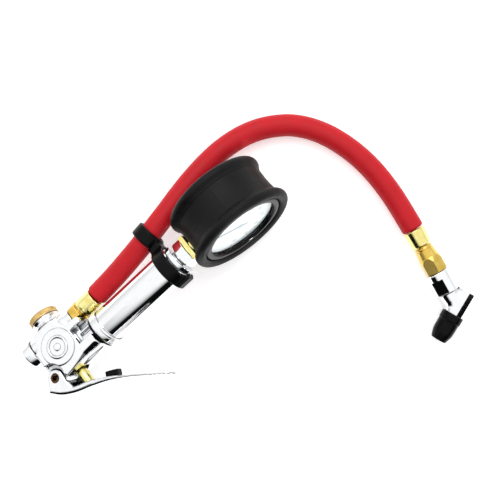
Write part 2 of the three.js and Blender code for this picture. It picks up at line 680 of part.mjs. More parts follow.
// The hairspring keeps the pinion against one side of the sector's teeth.
function hairspring() {
  const turns = 3;
  const steps = 40;
  const wire = 0.16;
  const outer = [];
  const inner = [];
  for (let i = 0; i <= steps; i += 1) {
    const angle = 2 * Math.PI * turns * i / steps;
    const r = 1.5 + 2.6 * i / steps;
    outer.push(new THREE.Vector2((r + wire) * Math.cos(angle), (r + wire) * Math.sin(angle)));
    inner.push(new THREE.Vector2((r - wire) * Math.cos(angle), (r - wire) * Math.sin(angle)));
  }
  return slab(new THREE.Shape([...outer, ...inner.reverse()]), 0.5).translate([0, 0, LINK_LAYER]);
}
tool.add(mesh('hairspring', onDial(hairspring()), BRASS));

// A C-shaped flattened tube from the socket to the tip that pulls the link.
function bourdonTube() {
  const turnR = 22;
  const path = new THREE.Path();
  path.absarc(0, 0, turnR, -100 * DEG, 140 * DEG, false);
  const points = path.getSpacedPoints(24).map((p) => new THREE.Vector3(p.x, p.y, 0));
  const curve = new THREE.CatmullRomCurve3(points);
  const section = new THREE.Shape();
  section.moveTo(-3, -0.6);
  section.quadraticCurveTo(-3.6, 0, -3, 0.6);
  section.lineTo(3, 0.6);
  section.quadraticCurveTo(3.6, 0, 3, -0.6);
  section.closePath();
  const tube = new THREE.ExtrudeGeometry(section, { steps: 28, extrudePath: curve, curveSegments: 2 });
  return solid(tube).translate([0, 0, -2.6]);
}
tool.add(mesh('bourdon_tube', onDial(bourdonTube()), BRASS));

// The block that the stem's passage opens into, and that the Bourdon tube is soldered to.
const socketBlock = box([-5, -28.8, -3], [5, -22.9, 2])
  .subtract(rod('y', 1.5, -30, -25.4, ORIGIN, 12));
tool.add(mesh('bourdon_socket', onDial(socketBlock), BRASS));

const LINK_TOP = [-16, 8.6];
const tipPlate = box([-19, 7.6, 1.3], [-14.8, 15, 2.3])
  .add(rod('z', 0.6, 2, 6.3, [...LINK_TOP, 0], 12));
tool.add(mesh('bourdon_tip', onDial(tipPlate), BRASS));

function movementLink() {
  const strip = new THREE.Shape();
  strip.absarc(...LINK_TOP, 1, 20 * DEG, 200 * DEG, false);
  strip.absarc(-3.4, -20.4, 1, 200 * DEG, 380 * DEG, false);
  strip.closePath();
  return slab(strip, 0.6).translate([0, 0, LINK_LAYER]);
}
tool.add(mesh('movement_link', onDial(movementLink()), BRASS));

// ---------------------------------------------------------------- hose fittings at the body
const hoseNut = hexagon(14.2, -15.2, -9.4, 30, CROSS_AXIS)
  .add(rod('x', 4.6, -26, -14, CROSS_AXIS, 24))
  .add(rod('x', 5.2, -10, -8.6, CROSS_AXIS, 24))
  .subtract(rod('x', PASSAGE_R, -30, 0, CROSS_AXIS, 12));
tool.add(mesh('hose_nut', hoseNut, BRASS));
const ferruleEnd = HOSE_START - GAP;
const ferruleProfile = [
  [PASSAGE_R, -8.3], [6.6, -8.3], [7.2, -7.6], [7.2, ferruleEnd], [PASSAGE_R, ferruleEnd],
];
tool.add(mesh('hose_ferrule', turned('x', ferruleProfile, CROSS_AXIS, 32), BRASS));

// ---------------------------------------------------------------- whip hose
// Row frame. Out of the ferrule along the barrel, through the clip, down to the table behind the
// gauge, and round in a wide arc to the chuck.
const HOSE_ROUTE = [
  [-39.5, 29.2, 21.2], [-29.3, 29.7, 22.1], [-17.3, 30.5, 23.2], [-5.3, 31.7, 24.3], [5.7, 33, 25.2],
  [16.7, 34.6, 25.8], [27.7, 36.5, 25.2], [38.7, 38.6, 23.1], [51.2, 41.3, 19.7], [66.7, 44, 16],
  [82.7, 45.6, 12.6], [96.2, 45.5, 10.3], [109.2, 43.6, 8.9], [121.2, 39.8, 8.3], [132.2, 33.8, 8.2],
  [142.2, 25.8, 8.2], [150.2, 15.7, 8.2], [156.1, 4.3, 8.2], [160.1, -7.9, 8.2], [162.6, -20.4, 8.2],
  [163.7, -33.1, 8.2], [163.4, -45.8, 8.2], [162.1, -58.4, 8.3], [159.9, -71.1, 8.4], [156.6, -87.1, 8.6],
];
function whipHose() {
  const points = HOSE_ROUTE.map((p) => new THREE.Vector3(...p));
  const curve = new THREE.CatmullRomCurve3(points, false, 'centripetal');
  const section = new THREE.Shape();
  for (let i = 0; i < HOSE_SIDES; i += 1) {
    const angle = 2 * Math.PI * i / HOSE_SIDES;
    const at = [HOSE_R * Math.cos(angle), HOSE_R * Math.sin(angle)];
    if (i === 0) {
      section.moveTo(...at);
    } else {
      section.lineTo(...at);
    }
  }
  section.closePath();
  return solid(new THREE.ExtrudeGeometry(section, { steps: HOSE_STEPS, extrudePath: curve }));
}
inflator.add(mesh('whip_hose', whipHose(), RED_RUBBER));

// ---------------------------------------------------------------- chuck
// The chuck lies on the table at the hose's end. X runs on along the hose; the head is a second
// frame, turned at the knee, with X towards the tyre valve.
const CHUCK_END = new THREE.Vector3(156.6, -87.1, 8.6);
const CHUCK_TURN = -103.3 * DEG;
const KNEE = 63.2;
const HEAD_TURN = -59.2 * DEG;
const STEM_R = 8.5;
const HEAD_R = 6.6;
const chuck = new THREE.Group();
chuck.position.copy(CHUCK_END);
chuck.rotation.z = CHUCK_TURN;
inflator.add(chuck);
const head = new THREE.Group();
head.position.x = KNEE;
head.rotation.z = HEAD_TURN;
chuck.add(head);

const endFerrule = [[PASSAGE_R, 0.5], [7.5, 0.5], [7.2, 12.6], [6.8, 13.3], [PASSAGE_R, 13.3]];
chuck.add(mesh('end_ferrule', turned('x', endFerrule, ORIGIN, 24), BRASS));

function hoseCoupling() {
  const corner = 8.3;
  const collar = [
    [0, 13.6], [6.5, 13.6], [6.5, 15], [5.9, 15.2], [6.6, 15.6], [7.6, 21.6], [corner, 24.4],
    [corner, 33.2], [7.4, 34], [0, 34],
  ];
  const ridgesTurned = -6;
  return rod('x', corner, 21, 34, ORIGIN, 6)
    .rotate([ridgesTurned, 0, 0])
    .add(rod('x', 7.6, 13.6, 24, ORIGIN, 24))
    .intersect(turned('x', collar, ORIGIN, 24))
    .subtract(rod('x', PASSAGE_R, 10, 40, ORIGIN, 12))
    .subtract(rod('x', 4.9, 24, 40, ORIGIN, 24));
}
chuck.add(mesh('hose_coupling', hoseCoupling(), BRASS));

function chuckBody() {
  const stem = [
    [0, 24.5], [4.6, 24.5], [4.6, 34.3], [8.1, 34.3], [STEM_R, 35.2], [STEM_R, 50], [7.4, 56], [6, KNEE],
    [0, KNEE],
  ];
  const headProfile = [
    [0, -13.8], [6, -13.8], [HEAD_R, -13.2], [HEAD_R, 6.2], [5.9, 6.2], [5.9, 10.9], [0, 10.9],
  ];
  const turn = (body) => body.rotate([0, 0, HEAD_TURN / DEG]).translate([KNEE, 0, 0]);
  const flats = box([39.3, -12, 7.15], [49.8, 12, 12])
    .add(box([39.3, -12, -12], [49.8, 12, -7.15]))
    .rotate([25, 0, 0]);
  return turned('x', stem, ORIGIN, 24)
    .subtract(flats)
    .add(turn(turned('x', headProfile, ORIGIN, 24)))
    .subtract(rod('x', 1.8, 20, KNEE, ORIGIN, 12))
    .subtract(turn(rod('x', 4.2, -5, 12, ORIGIN, 24)));
}
chuck.add(mesh('chuck_body', chuckBody(), CHROME));

const noseProfile = [
  [6.9, 4.9], [7.6, 4.9], [8, 5.4], [8, 10.4], [7.5, 10.8], [7.4, 19.6], [7, 21.2], [5.7, 25.4],
  [5.2, 25.9], [4.4, 25.9], [4.4, 13.1], [6.2, 13.1], [6.2, 6.5], [6.9, 6.5],
];
head.add(mesh('chuck_nose', turned('x', noseProfile, ORIGIN, 24), BLACK_RUBBER));
head.add(mesh('chuck_seal', ring('x', 1.8, 5.9, 11.2, 12.8, ORIGIN, 24), BLACK_RUBBER));
const pinProfile = [
  [0, 1], [1.2, 1], [1.2, 6.6], [3.8, 6.6], [3.8, 7.8], [1.2, 7.8], [1.2, 14.6], [0.8, 15], [0, 15],
];
head.add(mesh('chuck_pin', turned('x', pinProfile, ORIGIN, 20), BRASS));
const chuckSpringPlace = new THREE.Matrix4().makeRotationZ(-Math.PI / 2);
head.add(mesh('chuck_spring', springAt(2.9, 0.35, 3, -4.6, 6.3, chuckSpringPlace), STEEL));

export default inflator;
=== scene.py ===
# %% [markdown]
# # A tyre inflator with a gauge
# The inflator lies on a table: a chromed valve body with a squeeze lever, a chromed barrel, a dial
# gauge in a rubber boot and a short red hose that ends in an angled chuck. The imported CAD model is
# the frame: every piece made here sits where its CAD node sits and moves with the same body.

# %% Load the frame
import math

import bmesh
import bpy
import numpy as np
from mathutils import Matrix, Vector


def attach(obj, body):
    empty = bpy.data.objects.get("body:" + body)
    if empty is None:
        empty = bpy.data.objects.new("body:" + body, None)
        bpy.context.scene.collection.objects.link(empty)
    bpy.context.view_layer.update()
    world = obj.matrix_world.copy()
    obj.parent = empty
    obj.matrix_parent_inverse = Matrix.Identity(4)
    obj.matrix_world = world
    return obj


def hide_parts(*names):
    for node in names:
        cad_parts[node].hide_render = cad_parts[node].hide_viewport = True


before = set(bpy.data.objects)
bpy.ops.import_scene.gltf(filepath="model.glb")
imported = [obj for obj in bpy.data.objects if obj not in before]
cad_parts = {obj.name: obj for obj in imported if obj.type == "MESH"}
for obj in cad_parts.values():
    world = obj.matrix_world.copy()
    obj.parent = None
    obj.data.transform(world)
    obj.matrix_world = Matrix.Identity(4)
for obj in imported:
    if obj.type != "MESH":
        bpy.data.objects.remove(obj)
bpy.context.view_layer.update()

# %% [markdown]
# ## Three working frames
# On the bench each piece is measured along its own axis. The tool frame has X along the barrel,
# -Y towards the lever and Z out of the valve body's flat face. The chuck frame has X running on
# along the hose, and the head frame has X towards the tyre valve. All sizes are millimetres.

# %% Frames of the tool, the chuck and its head
MM = 0.001
RISE, ROLL = math.radians(6.4), math.radians(16.9)
KNEE = 63.2
HEAD_TURN = math.radians(-59.2)
ROW = Matrix.Scale(MM, 4)
TOOL = (ROW @ Matrix.Translation((-46.3, 7.9, 26.93))
        @ Matrix.Rotation(-RISE, 4, "Y") @ Matrix.Rotation(-ROLL, 4, "X"))
CHUCK = ROW @ Matrix.Translation((156.6, -87.1, 8.6)) @ Matrix.Rotation(math.radians(-103.3), 4, "Z")
HEAD = CHUCK @ Matrix.Translation((KNEE, 0, 0)) @ Matrix.Rotation(HEAD_TURN, 4, "Z")
print("valve face looks along", [round(v, 3) for v in (TOOL.to_3x3() @ Vector((0, 0, 1))).normalized()])

# %% [markdown]
# ## Camera
# The tool is seen from about two thirds of a metre almost straight above, a few degrees off the
# vertical, with the barrel running up to the right.

# %% Camera
CAMERA_AT = Vector((0.1089, -0.0201, 0.6547))
CAMERA_LEAN = math.asin(0.0725)
CAMERA_HEADING = math.radians(42.458)
scene = bpy.context.scene
camera = bpy.data.objects.new("camera", bpy.data.cameras.new("camera"))
camera.data.lens = 65.6
camera.data.clip_start, camera.data.clip_end = 0.01, 20
scene.collection.objects.link(camera)
camera.matrix_world = (Matrix.Translation(CAMERA_AT) @ Matrix.Rotation(CAMERA_LEAN, 4, "Y")
                       @ Matrix.Rotation(-CAMERA_HEADING, 4, "Z"))
scene.camera = camera
print("camera at", [round(v, 4) for v in CAMERA_AT])

# %% [markdown]
# ## Node helpers
# Colours are written as sRGB hex, as a paint chart gives them, and shaders want linear light, so one
# function converts them. A second function adds a node, sets it and links its inputs. A third
# starts a Principled material and returns its tree and its shader.

# %% Colour and nodes
def linear(code):
    channels = [int(code[i:i + 2], 16) / 255 for i in (1, 3, 5)]
    return [c / 12.92 if c <= 0.04045 else ((c + 0.055) / 1.055) ** 2.4 for c in channels] + [1.0]


def add_node(tree, kind, inputs=None, **settings):
    node = tree.nodes.new(kind)
    for key, value in settings.items():
        setattr(node, key, value)
    for key, value in (inputs or {}).items():
        socket = node.inputs[key]
        if isinstance(value, bpy.types.NodeSocket):
            tree.links.new(value, socket)
        else:
            socket.default_value = value
    return node


def new_material(name, **plain):
    material = bpy.data.materials.new(name)
    material.use_nodes = True
    shader = material.node_tree.nodes["Principled BSDF"]
    for key, value in plain.items():
        shader.inputs[key.replace("_", " ")].default_value = value
    return material, material.node_tree, shader


def between(tree, factor, low, high, start=0.0, end=1.0):
    """A number that goes from low to high as factor goes from start to end."""
    return add_node(tree, "ShaderNodeMapRange", {
        "Value": factor, "From Min": start, "From Max": end, "To Min": low, "To Max": high,
    }).outputs["Result"]


def tinted(tree, factor, *stops):
    """A colour ramp from (place, hex) stops."""
    ramp = add_node(tree, "ShaderNodeValToRGB", {"Fac": factor})
    elements = ramp.color_ramp.elements
    while len(elements) < len(stops):
        elements.new(0.5)
    for element, (place, code) in zip(elements, stops):
        element.position = place
        element.color = linear(code)
    return ramp.outputs["Color"]


def grain(tree, size, detail=3.0, stretch=(1, 1, 1)):
    """Noise whose lumps are `size` millimetres across, drawn out by `stretch`."""
    place = add_node(tree, "ShaderNodeTexCoord").outputs["Object"]
    spread = add_node(tree, "ShaderNodeMapping", {"Vector": place, "Scale": [1 / s for s in stretch]})
    return add_node(tree, "ShaderNodeTexNoise", {
        "Vector": spread.outputs["Vector"], "Scale": 1 / (size * MM), "Detail": detail,
    }).outputs["Fac"]


def in_corners(tree, tint, dark, reach):
    """The tint with painted shade: darker in inside corners and pockets, where less light reaches."""
    # Painted shade: ambient occlusion and pointiness darken the colour in hollows and inside creases.
    open_sky = add_node(tree, "ShaderNodeAmbientOcclusion", {"Distance": reach * MM}, samples=6).outputs["AO"]
    bend = add_node(tree, "ShaderNodeNewGeometry").outputs["Pointiness"]
    clear = add_node(tree, "ShaderNodeMath", {
        0: between(tree, open_sky, 0.0, 1.0, 0.3, 0.78), 1: between(tree, bend, 0.0, 1.0, 0.44, 0.492),
    }, operation="MULTIPLY")
    return add_node(tree, "ShaderNodeMix", {
        "Factor": clear.outputs["Value"], 6: linear(dark), 7: tint,
    }, data_type="RGBA").outputs[2]


def raise_by(tree, shader, height, depth):
    """Bump of `depth` millimetres from a height that runs from 0 to 1."""
    bump = add_node(tree, "ShaderNodeBump", {"Height": height, "Distance": depth * MM})
    tree.links.new(bump.outputs["Normal"], shader.inputs["Normal"])


def dress(tree, shader, pattern, dark, light, low, high, top=0.7):
    """Colour from dark to light and roughness from low to high, both with one pattern."""
    tree.links.new(tinted(tree, pattern, (0.3, dark), (top, light)), shader.inputs["Base Color"])
    tree.links.new(between(tree, pattern, low, high, 0.3, 0.7), shader.inputs["Roughness"])


# %% [markdown]
# ## Metals
# The castings and the tubes are nickel and chromium plated. Chrome is nearly a mirror: what the eye
# gets is the room, a little softened by the casting's ripple under the plate on the valve body, and
# by faint polishing marks on the turned tube.

# %% Chrome over a zinc casting
CHROME_TINT = "#F6F7F8"
chrome_cast, tree, shader = new_material("chromium_plated_zinc_casting", Metallic=1.0)
ripple = grain(tree, 9.0, detail=1.0)
haze = grain(tree, 4.0, detail=4.0)
plate_tint = tinted(tree, haze, (0.3, "#F0F2F4"), (0.7, CHROME_TINT))
# Painted shade: the plate's colour turns grey in inside corners and pockets.
tree.links.new(in_corners(tree, plate_tint, "#5A5D61", 5), shader.inputs["Base Color"])
tree.links.new(between(tree, haze, 0.04, 0.09, 0.35, 0.7), shader.inputs["Roughness"])
raise_by(tree, shader, ripple, 0.02)

# %% Chrome over a polished tube
chrome_tube, tree, shader = new_material("chromium_plated_steel_tube", Metallic=1.0)
polish = grain(tree, 0.6, detail=2.0, stretch=(12, 1, 1))
dress(tree, shader, polish, "#EEF0F2", CHROME_TINT, 0.04, 0.09)
raise_by(tree, shader, polish, 0.001)

# %% Pressed steel with a bright plate
chrome_pressed, tree, shader = new_material("chromium_plated_pressed_steel", Metallic=1.0)
draw_marks = grain(tree, 1.4, detail=3.0, stretch=(5, 5, 1))
sheet_tint = tinted(tree, draw_marks, (0.3, "#ECEEF0"), (0.7, CHROME_TINT))
# Painted shade: the lever's colour turns nearly black inside its channel and in its inside corners.
tree.links.new(in_corners(tree, sheet_tint, "#0C0D0E", 12), shader.inputs["Base Color"])
tree.links.new(between(tree, draw_marks, 0.06, 0.16, 0.35, 0.7), shader.inputs["Roughness"])
raise_by(tree, shader, draw_marks, 0.003)

# %% [markdown]
# Brass bar is turned on a lathe and left bare. The tool leaves rings a few hundredths of a
# millimetre apart, which only show as a soft sheen, and handling leaves slightly duller patches.

# %% Turned brass
def brass(name, pale, deep, shine, dull):
    material, tree, shader = new_material(name, Metallic=1.0)
    patches = grain(tree, 6.0, detail=3.0)
    rings = grain(tree, 0.5, detail=1.0, stretch=(1, 8, 8))
    dress(tree, shader, patches, deep, pale, dull, shine, top=0.65)
    raise_by(tree, shader, rings, 0.0015)
    return material


brass_turned = brass("turned_brass", "#F7EFA4", "#EFDC86", 0.12, 0.2)
brass_hex = brass("drawn_brass_hexagon", "#E9CA6C", "#D8B050", 0.12, 0.2)
brass_aged = brass("aged_brass", "#CDB077", "#BD9C60", 0.22, 0.32)
brass_inside = brass("stamped_brass", "#D9B054", "#BF8F38", 0.3, 0.42)

# %% Plain steel and spring steel
steel, tree, shader = new_material("plain_steel", Metallic=1.0)
mill_scale = grain(tree, 1.1, detail=4.0, stretch=(3, 1, 1))
dress(tree, shader, mill_scale, "#8E9196", "#B7BABF", 0.22, 0.4)
raise_by(tree, shader, mill_scale, 0.01)

browned_steel, tree, shader = new_material("browned_spring_steel", Metallic=1.0, Roughness=0.35)
tree.links.new(tinted(tree, grain(tree, 1.1, detail=4.0), (0.3, "#4A3324"), (0.7, "#7A5636")),
               shader.inputs["Base Color"])

# %% [markdown]
# ## Rubbers and plastics
# The boot is compression-moulded nitrile rubber: matt, a touch grey, with the mould's fine stipple.
# The hose's cover is extruded red rubber: smooth, with faint streaks along it from the die. The clip
# and the bezel are injection moulded and glossier.

# %% Black rubbers
def black_rubber(name, dark, light, low, high, sheen, stipple, depth):
    material, tree, shader = new_material(name, Specular_IOR_Level=sheen)
    mottle = grain(tree, 6.0, detail=5.0)
    pores = grain(tree, stipple, detail=2.0)
    dress(tree, shader, mottle, dark, light, low, high, top=0.75)
    raise_by(tree, shader, pores, depth)
    return material


boot_rubber = black_rubber("moulded_nitrile_rubber", "#0B0B0B", "#121213", 0.42, 0.55, 0.16, 0.5, 0.02)
nose_rubber = black_rubber("moulded_hard_rubber", "#040404", "#070707", 0.2, 0.3, 0.1, 0.4, 0.006)
seal_rubber = black_rubber("seal_rubber", "#050505", "#090909", 0.35, 0.5, 0.1, 0.3, 0.01)

# %% Red hose cover
hose_rubber, tree, shader = new_material("extruded_red_rubber", Specular_IOR_Level=0.2)
cloud = grain(tree, 9.0, detail=5.0)
pores = grain(tree, 0.35, detail=2.0)
dress(tree, shader, cloud, "#BA1720", "#C61B26", 0.42, 0.6)
raise_by(tree, shader, pores, 0.02)

# %% Black plastics
def black_plastic(name, dark, light, low, high, coat):
    material, tree, shader = new_material(name, Coat_Weight=coat, Coat_Roughness=0.08,
                                          Specular_IOR_Level=0.12)
    flow = grain(tree, 3.0, detail=4.0, stretch=(3, 1, 1))
    dress(tree, shader, flow, dark, light, low, high)
    raise_by(tree, shader, flow, 0.01)
    return material


nylon = black_plastic("moulded_black_nylon", "#040404", "#080808", 0.26, 0.36, 0.0)
gloss_abs = black_plastic("gloss_black_abs", "#030303", "#060606", 0.12, 0.18, 0.1)

# %% [markdown]
# ## Dial and window
# The dial is a thin aluminium disc with baked white enamel and printed grey figures. The window is
# clear polycarbonate: most light goes straight through, and the rest is a faint reflection that
# grows towards the edge of vision, so it is a mix of clear and glossy by Fresnel.

# %% Enamel, print and window
enamel, tree, shader = new_material("baked_white_enamel", Coat_Weight=0.2, Coat_Roughness=0.15)
speck = grain(tree, 1.2, detail=3.0)
dress(tree, shader, speck, "#F1F1F2", "#F8F8F8", 0.35, 0.5)

print_ink, tree, shader = new_material("printed_grey_ink")
fade = grain(tree, 2.0, detail=3.0)
dress(tree, shader, fade, "#A3A7B2", "#B4B8C2", 0.5, 0.7)

window_plastic = bpy.data.materials.new("clear_polycarbonate")
window_plastic.use_nodes = True
tree = window_plastic.node_tree
tree.nodes.clear()
rub_marks = grain(tree, 3.0, detail=3.0)
gloss = add_node(tree, "ShaderNodeBsdfGlossy", {
    "Color": linear("#FFFFFF"), "Roughness": between(tree, rub_marks, 0.02, 0.08, 0.3, 0.7),
})
clear = add_node(tree, "ShaderNodeBsdfTransparent", {"Color": linear("#FAFCFC")})
edge_gloss = add_node(tree, "ShaderNodeFresnel", {"IOR": 1.45})
going_in = add_node(tree, "ShaderNodeMath", {
    0: 1.0, 1: add_node(tree, "ShaderNodeNewGeometry").outputs["Backfacing"],
}, operation="SUBTRACT")
front_gloss = add_node(tree, "ShaderNodeMath", {
    0: edge_gloss.outputs["Fac"], 1: going_in.outputs["Value"],
}, operation="MULTIPLY")
mixed = add_node(tree, "ShaderNodeMixShader", {
    "Fac": front_gloss.outputs["Value"], 1: clear.outputs["BSDF"], 2: gloss.outputs["BSDF"],
})
add_node(tree, "ShaderNodeOutputMaterial", {"Surface": mixed.outputs["Shader"]})
print(len(bpy.data.materials), "materials in the file")

# %% [markdown]
# ## Turning
# Most pieces of this tool come off a lathe, so most meshes do too: a half section is swept round
# an axis. A real turned edge is never razor sharp, so each corner of the section is first eased
# into a small curve. The section lists (radius, place along the axis).

# %% Turn a section round an axis
def eased(section, size, steps=3):
    """The section with each corner cut back by `size` and curved."""
    points = [np.array(p, float) for p in section]
    last = len(points) - 1
    closed = points[0][0] > 0 or points[-1][0] > 0
    out = []
    for i, corner in enumerate(points):
        if not closed and i in (0, last):
            out.append(corner)
            continue
        before, after = points[i - 1], points[(i + 1) % (last + 1)]
        reach = [np.linalg.norm(before - corner), np.linalg.norm(after - corner)]
        start = corner + (before - corner) * min(size / reach[0], 0.45)
        end = corner + (after - corner) * min(size / reach[1], 0.45)
        for k in range(steps + 1):
            t = k / steps
            out.append((1 - t) ** 2 * start + 2 * t * (1 - t) * corner + t * t * end)
    return out


AROUND = {"x": (0, 1, 2), "y": (1, 2, 0), "z": (2, 0, 1)}


def turned(section, axis="x", at=(0, 0, 0), sides=96, ease=0.25, shape=None):
    """Points and faces. `shape` may change the radius at each (angle, along, radius)."""
    closed = section[0][0] > 0 or section[-1][0] > 0
    line = np.array(eased(section, ease))
    angles = np.arange(sides) * 2 * np.pi / sides
    a, s, c = AROUND[axis]
    rows = len(line)
    radius = np.repeat(line[:, 0][:, None], sides, axis=1)
    along = np.repeat(line[:, 1][:, None], sides, axis=1)
    if shape is not None:
        radius = np.where(radius > 1e-6, radius + shape(angles[None, :], along, radius), 0)
    points = np.zeros((rows, sides, 3))
    points[..., a] = along
    points[..., s] = radius * np.sin(angles)
    points[..., c] = radius * np.cos(angles)
    points += np.array(at)
    faces = []
    for i in range(rows if closed else rows - 1):
        j = (i + 1) % rows
        for k in range(sides):
            m = (k + 1) % sides
            faces.append((i * sides + k, j * sides + k, j * sides + m, i * sides + m))
    return points.reshape(-1, 3), faces


# %% [markdown]
# ## Setting a piece in the model
# Points and faces become an object here: doubles on the axis are merged, the faces turned to look
# out, edges above an angle kept crisp and the rest shaded smooth. It then rides on its CAD body
# and stands for its CAD node.


def set_piece(name, points, faces, place, material, slot, body="inflator", nodes=None, crisp=38):
    mesh = bpy.data.meshes.new(name)
    mesh.from_pydata([tuple(p) for p in points], [], faces)
    mesh.transform(place)
    shell = bmesh.new()
    shell.from_mesh(mesh)
    bmesh.ops.remove_doubles(shell, verts=shell.verts, dist=2e-6)
    bmesh.ops.dissolve_degenerate(shell, edges=shell.edges, dist=1e-6)
    bmesh.ops.recalc_face_normals(shell, faces=shell.faces)
    shell.to_mesh(mesh)
    shell.free()
    mesh.shade_smooth()
    mesh.set_sharp_from_angle(angle=math.radians(crisp))
    mesh.materials.append(material)
    piece = bpy.data.objects.new(name, mesh)
    scene.collection.objects.link(piece)
    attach(piece, body)
    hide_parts(*([name.removesuffix("_made")] if nodes is None else nodes))
    print(f"{name}: {len(mesh.vertices)} points")
    return piece


# %% [markdown]
# ## Hose
# The whip hose is stiff rubber, 16 mm across. It leaves the brass ferrule, runs along the barrel
# through the clip, comes down behind the gauge and sweeps round on the table to the chuck. It is a
# tube along one smooth line, with its cut ends rounded over where the ferrules press on them.

# %% Route of the hose
HOSE_R = 7.86
HOSE_ROUTE = [
    (-39.5, 29.2, 21.2), (-29.3, 29.7, 22.1), (-17.3, 30.5, 23.2), (-5.3, 31.7, 24.3), (5.7, 33, 25.2),
    (16.7, 34.6, 25.8), (27.7, 36.5, 25.2), (38.7, 38.6, 23.1), (51.2, 41.3, 19.7), (66.7, 44, 16),
    (82.7, 45.6, 12.6), (96.2, 45.5, 10.3), (109.2, 43.6, 8.9), (121.2, 39.8, 8.3), (132.2, 33.8, 8.2),
    (142.2, 25.8, 8.2), (150.2, 15.7, 8.2), (156.1, 4.3, 8.2), (160.1, -7.9, 8.2), (162.6, -20.4, 8.2),
    (163.7, -33.1, 8.2), (163.4, -45.8, 8.2), (162.1, -58.4, 8.3), (159.9, -71.1, 8.4), (156.6, -87.1, 8.6),
]


def smooth_line(points, per_span):
    """The centripetal curve through the points, with `per_span` steps from each to the next."""
    p = [np.array(q, float) for q in points]
    p = [2 * p[0] - p[1], *p, 2 * p[-1] - p[-2]]
    out = []
    for i in range(1, len(p) - 2):
        steps = [max(np.linalg.norm(p[k + 1] - p[k]) ** 0.5, 1e-6) for k in (i - 1, i, i + 1)]
        lean = []
        for k, side in ((i, 0), (i + 1, 1)):
            d0, d1 = steps[side], steps[side + 1]
            slope = (p[k] - p[k - 1]) / d0 - (p[k + 1] - p[k - 1]) / (d0 + d1) + (p[k + 1] - p[k]) / d1
            lean.append(slope * steps[1])
        for k in range(per_span):
            t = k / per_span
            out.append((2 * t ** 3 - 3 * t ** 2 + 1) * p[i] + (t ** 3 - 2 * t ** 2 + t) * lean[0]
                       + (3 * t ** 2 - 2 * t ** 3) * p[i + 1] + (t ** 3 - t ** 2) * lean[1])
    out.append(p[-2])
    return np.array(out)


hose_line = smooth_line(HOSE_ROUTE, 12)

# %% Sweep the hose
def swept(line, radius_at, sides=56):
    """A closed tube along the line. `radius_at` gives (station, radius) pairs at its two ends."""
    tangent = np.gradient(line, axis=0)
    tangent /= np.linalg.norm(tangent, axis=1)[:, None]
    side = np.cross(tangent[0], (0, 0, 1))
    rings = []
    angles = np.arange(sides) * 2 * np.pi / sides
    for centre, ahead, radius in zip(line, tangent, radius_at):
        side = side - ahead * np.dot(side, ahead)
        side /= np.linalg.norm(side)
        up = np.cross(side, ahead)
        rings.append(centre + radius * (np.cos(angles)[:, None] * side + np.sin(angles)[:, None] * up))
    points = np.concatenate(rings)
    count = len(line)
    faces = [(i * sides + k, i * sides + (k + 1) % sides, (i + 1) * sides + (k + 1) % sides, (i + 1) * sides + k)
             for i in range(count - 1) for k in range(sides)]
    faces += [tuple(range(sides)), tuple(range((count - 1) * sides, count * sides))]
    return points, faces


def rounded_ends(line, radius, roll):
    """The line with extra stations at both ends, and the radius at each station."""
    run = np.concatenate([[0], np.cumsum(np.linalg.norm(np.diff(line, axis=0), axis=1))])
    angle = np.linspace(0, np.pi / 2, 7)
    near = roll * (1 - np.cos(angle))
    stations = np.concatenate([near, run[(run > roll + 0.5) & (run < run[-1] - roll - 0.5)], run[-1] - near[::-1]])
    inset = roll * (1 - np.sin(angle))
    shrink = np.zeros(len(stations))
    shrink[:7], shrink[-7:] = inset, inset[::-1]
    dense = np.stack([np.interp(stations, run, line[:, i]) for i in range(3)], axis=1)
    return dense, radius - shrink


hose_stations, hose_radii = rounded_ends(hose_line, HOSE_R, 1.9)
hose = set_piece("whip_hose_made", *swept(hose_stations, hose_radii), ROW, hose_rubber, "red_rubber")

# %% [markdown]
# ## Hose fittings
# Each end of the hose has a brass ferrule swaged over a barb. At the body end it screws in with a
# hexagon; at the chuck end a groove, a ring and a cone lead into a larger hexagon. The ferrules are
# turned; the hexagons are shaped with the field method that the castings use, further down.

# %% Ferrules at both ends
CROSS_AXIS = (0, 22.2, 0)
PASSAGE_R = 2
body_ferrule = [(PASSAGE_R, -8.3), (6.0, -8.3), (6.5, -7.8), (6.5, -6.9), (6.9, -6.4), (7.2, -5.4), (7.2, 4.8),
                (6.9, 5.3), (PASSAGE_R, 5.3)]
set_piece("hose_ferrule_made", *turned(body_ferrule, "x", CROSS_AXIS, 96, 0.5), TOOL, brass_turned, "brass")
chuck_ferrule = [(PASSAGE_R, 0.5), (7.2, 0.5), (7.45, 0.8), (7.0, 12.0), (6.5, 12.9), (PASSAGE_R, 12.9)]
set_piece("end_ferrule_made", *turned(chuck_ferrule, "x", (0, 0, 0), 96, 0.5), CHUCK, brass_turned, "brass")

# %% [markdown]
# ## Field method for castings
# A casting has soft inside corners where its ports meet the block, which a lathe or a bevel does not
# give. Here a casting is a field: at each point of space, the distance to its skin, negative
# inside. Two fields weld with a fillet by a soft minimum, and one cuts another by a soft maximum.
# The skin is then walked cell by cell, and each point is pulled exactly on to it.

# %% Weld, trim and carve
def weld(a, b, fillet=1.0):
    soft = np.maximum(fillet - np.abs(a - b), 0) / fillet
    return np.minimum(a, b) - soft * soft * fillet / 4


def trim(a, b, ease=0.8):
    """What lies inside both."""
    return -weld(-a, -b, ease)


def carve(a, b, ease=0.8):
    """The first with the second taken out."""
    return -weld(-a, b, ease)


# %% Bars, blocks and outlines as fields
def bar(p, axis, radius, start, end, at=(0, 0, 0), ease=0.6):
    """A round bar; `radius` is a number, or (place, radius) stations along it."""
    q = [c - a for c, a in zip(p, at)]
    along = q.pop("xyz".index(axis))
    if isinstance(radius, list):
        radius = np.interp(along, *zip(*radius))
    return trim(np.hypot(*q) - radius, np.abs(along - (start + end) / 2) - (end - start) / 2, ease)


def block(p, low, high, ease=0.6):
    sides = [np.abs(c - (a + b) / 2) - (b - a) / 2 for c, a, b in zip(p, low, high)]
    return trim(trim(sides[0], sides[1], ease), sides[2], ease)


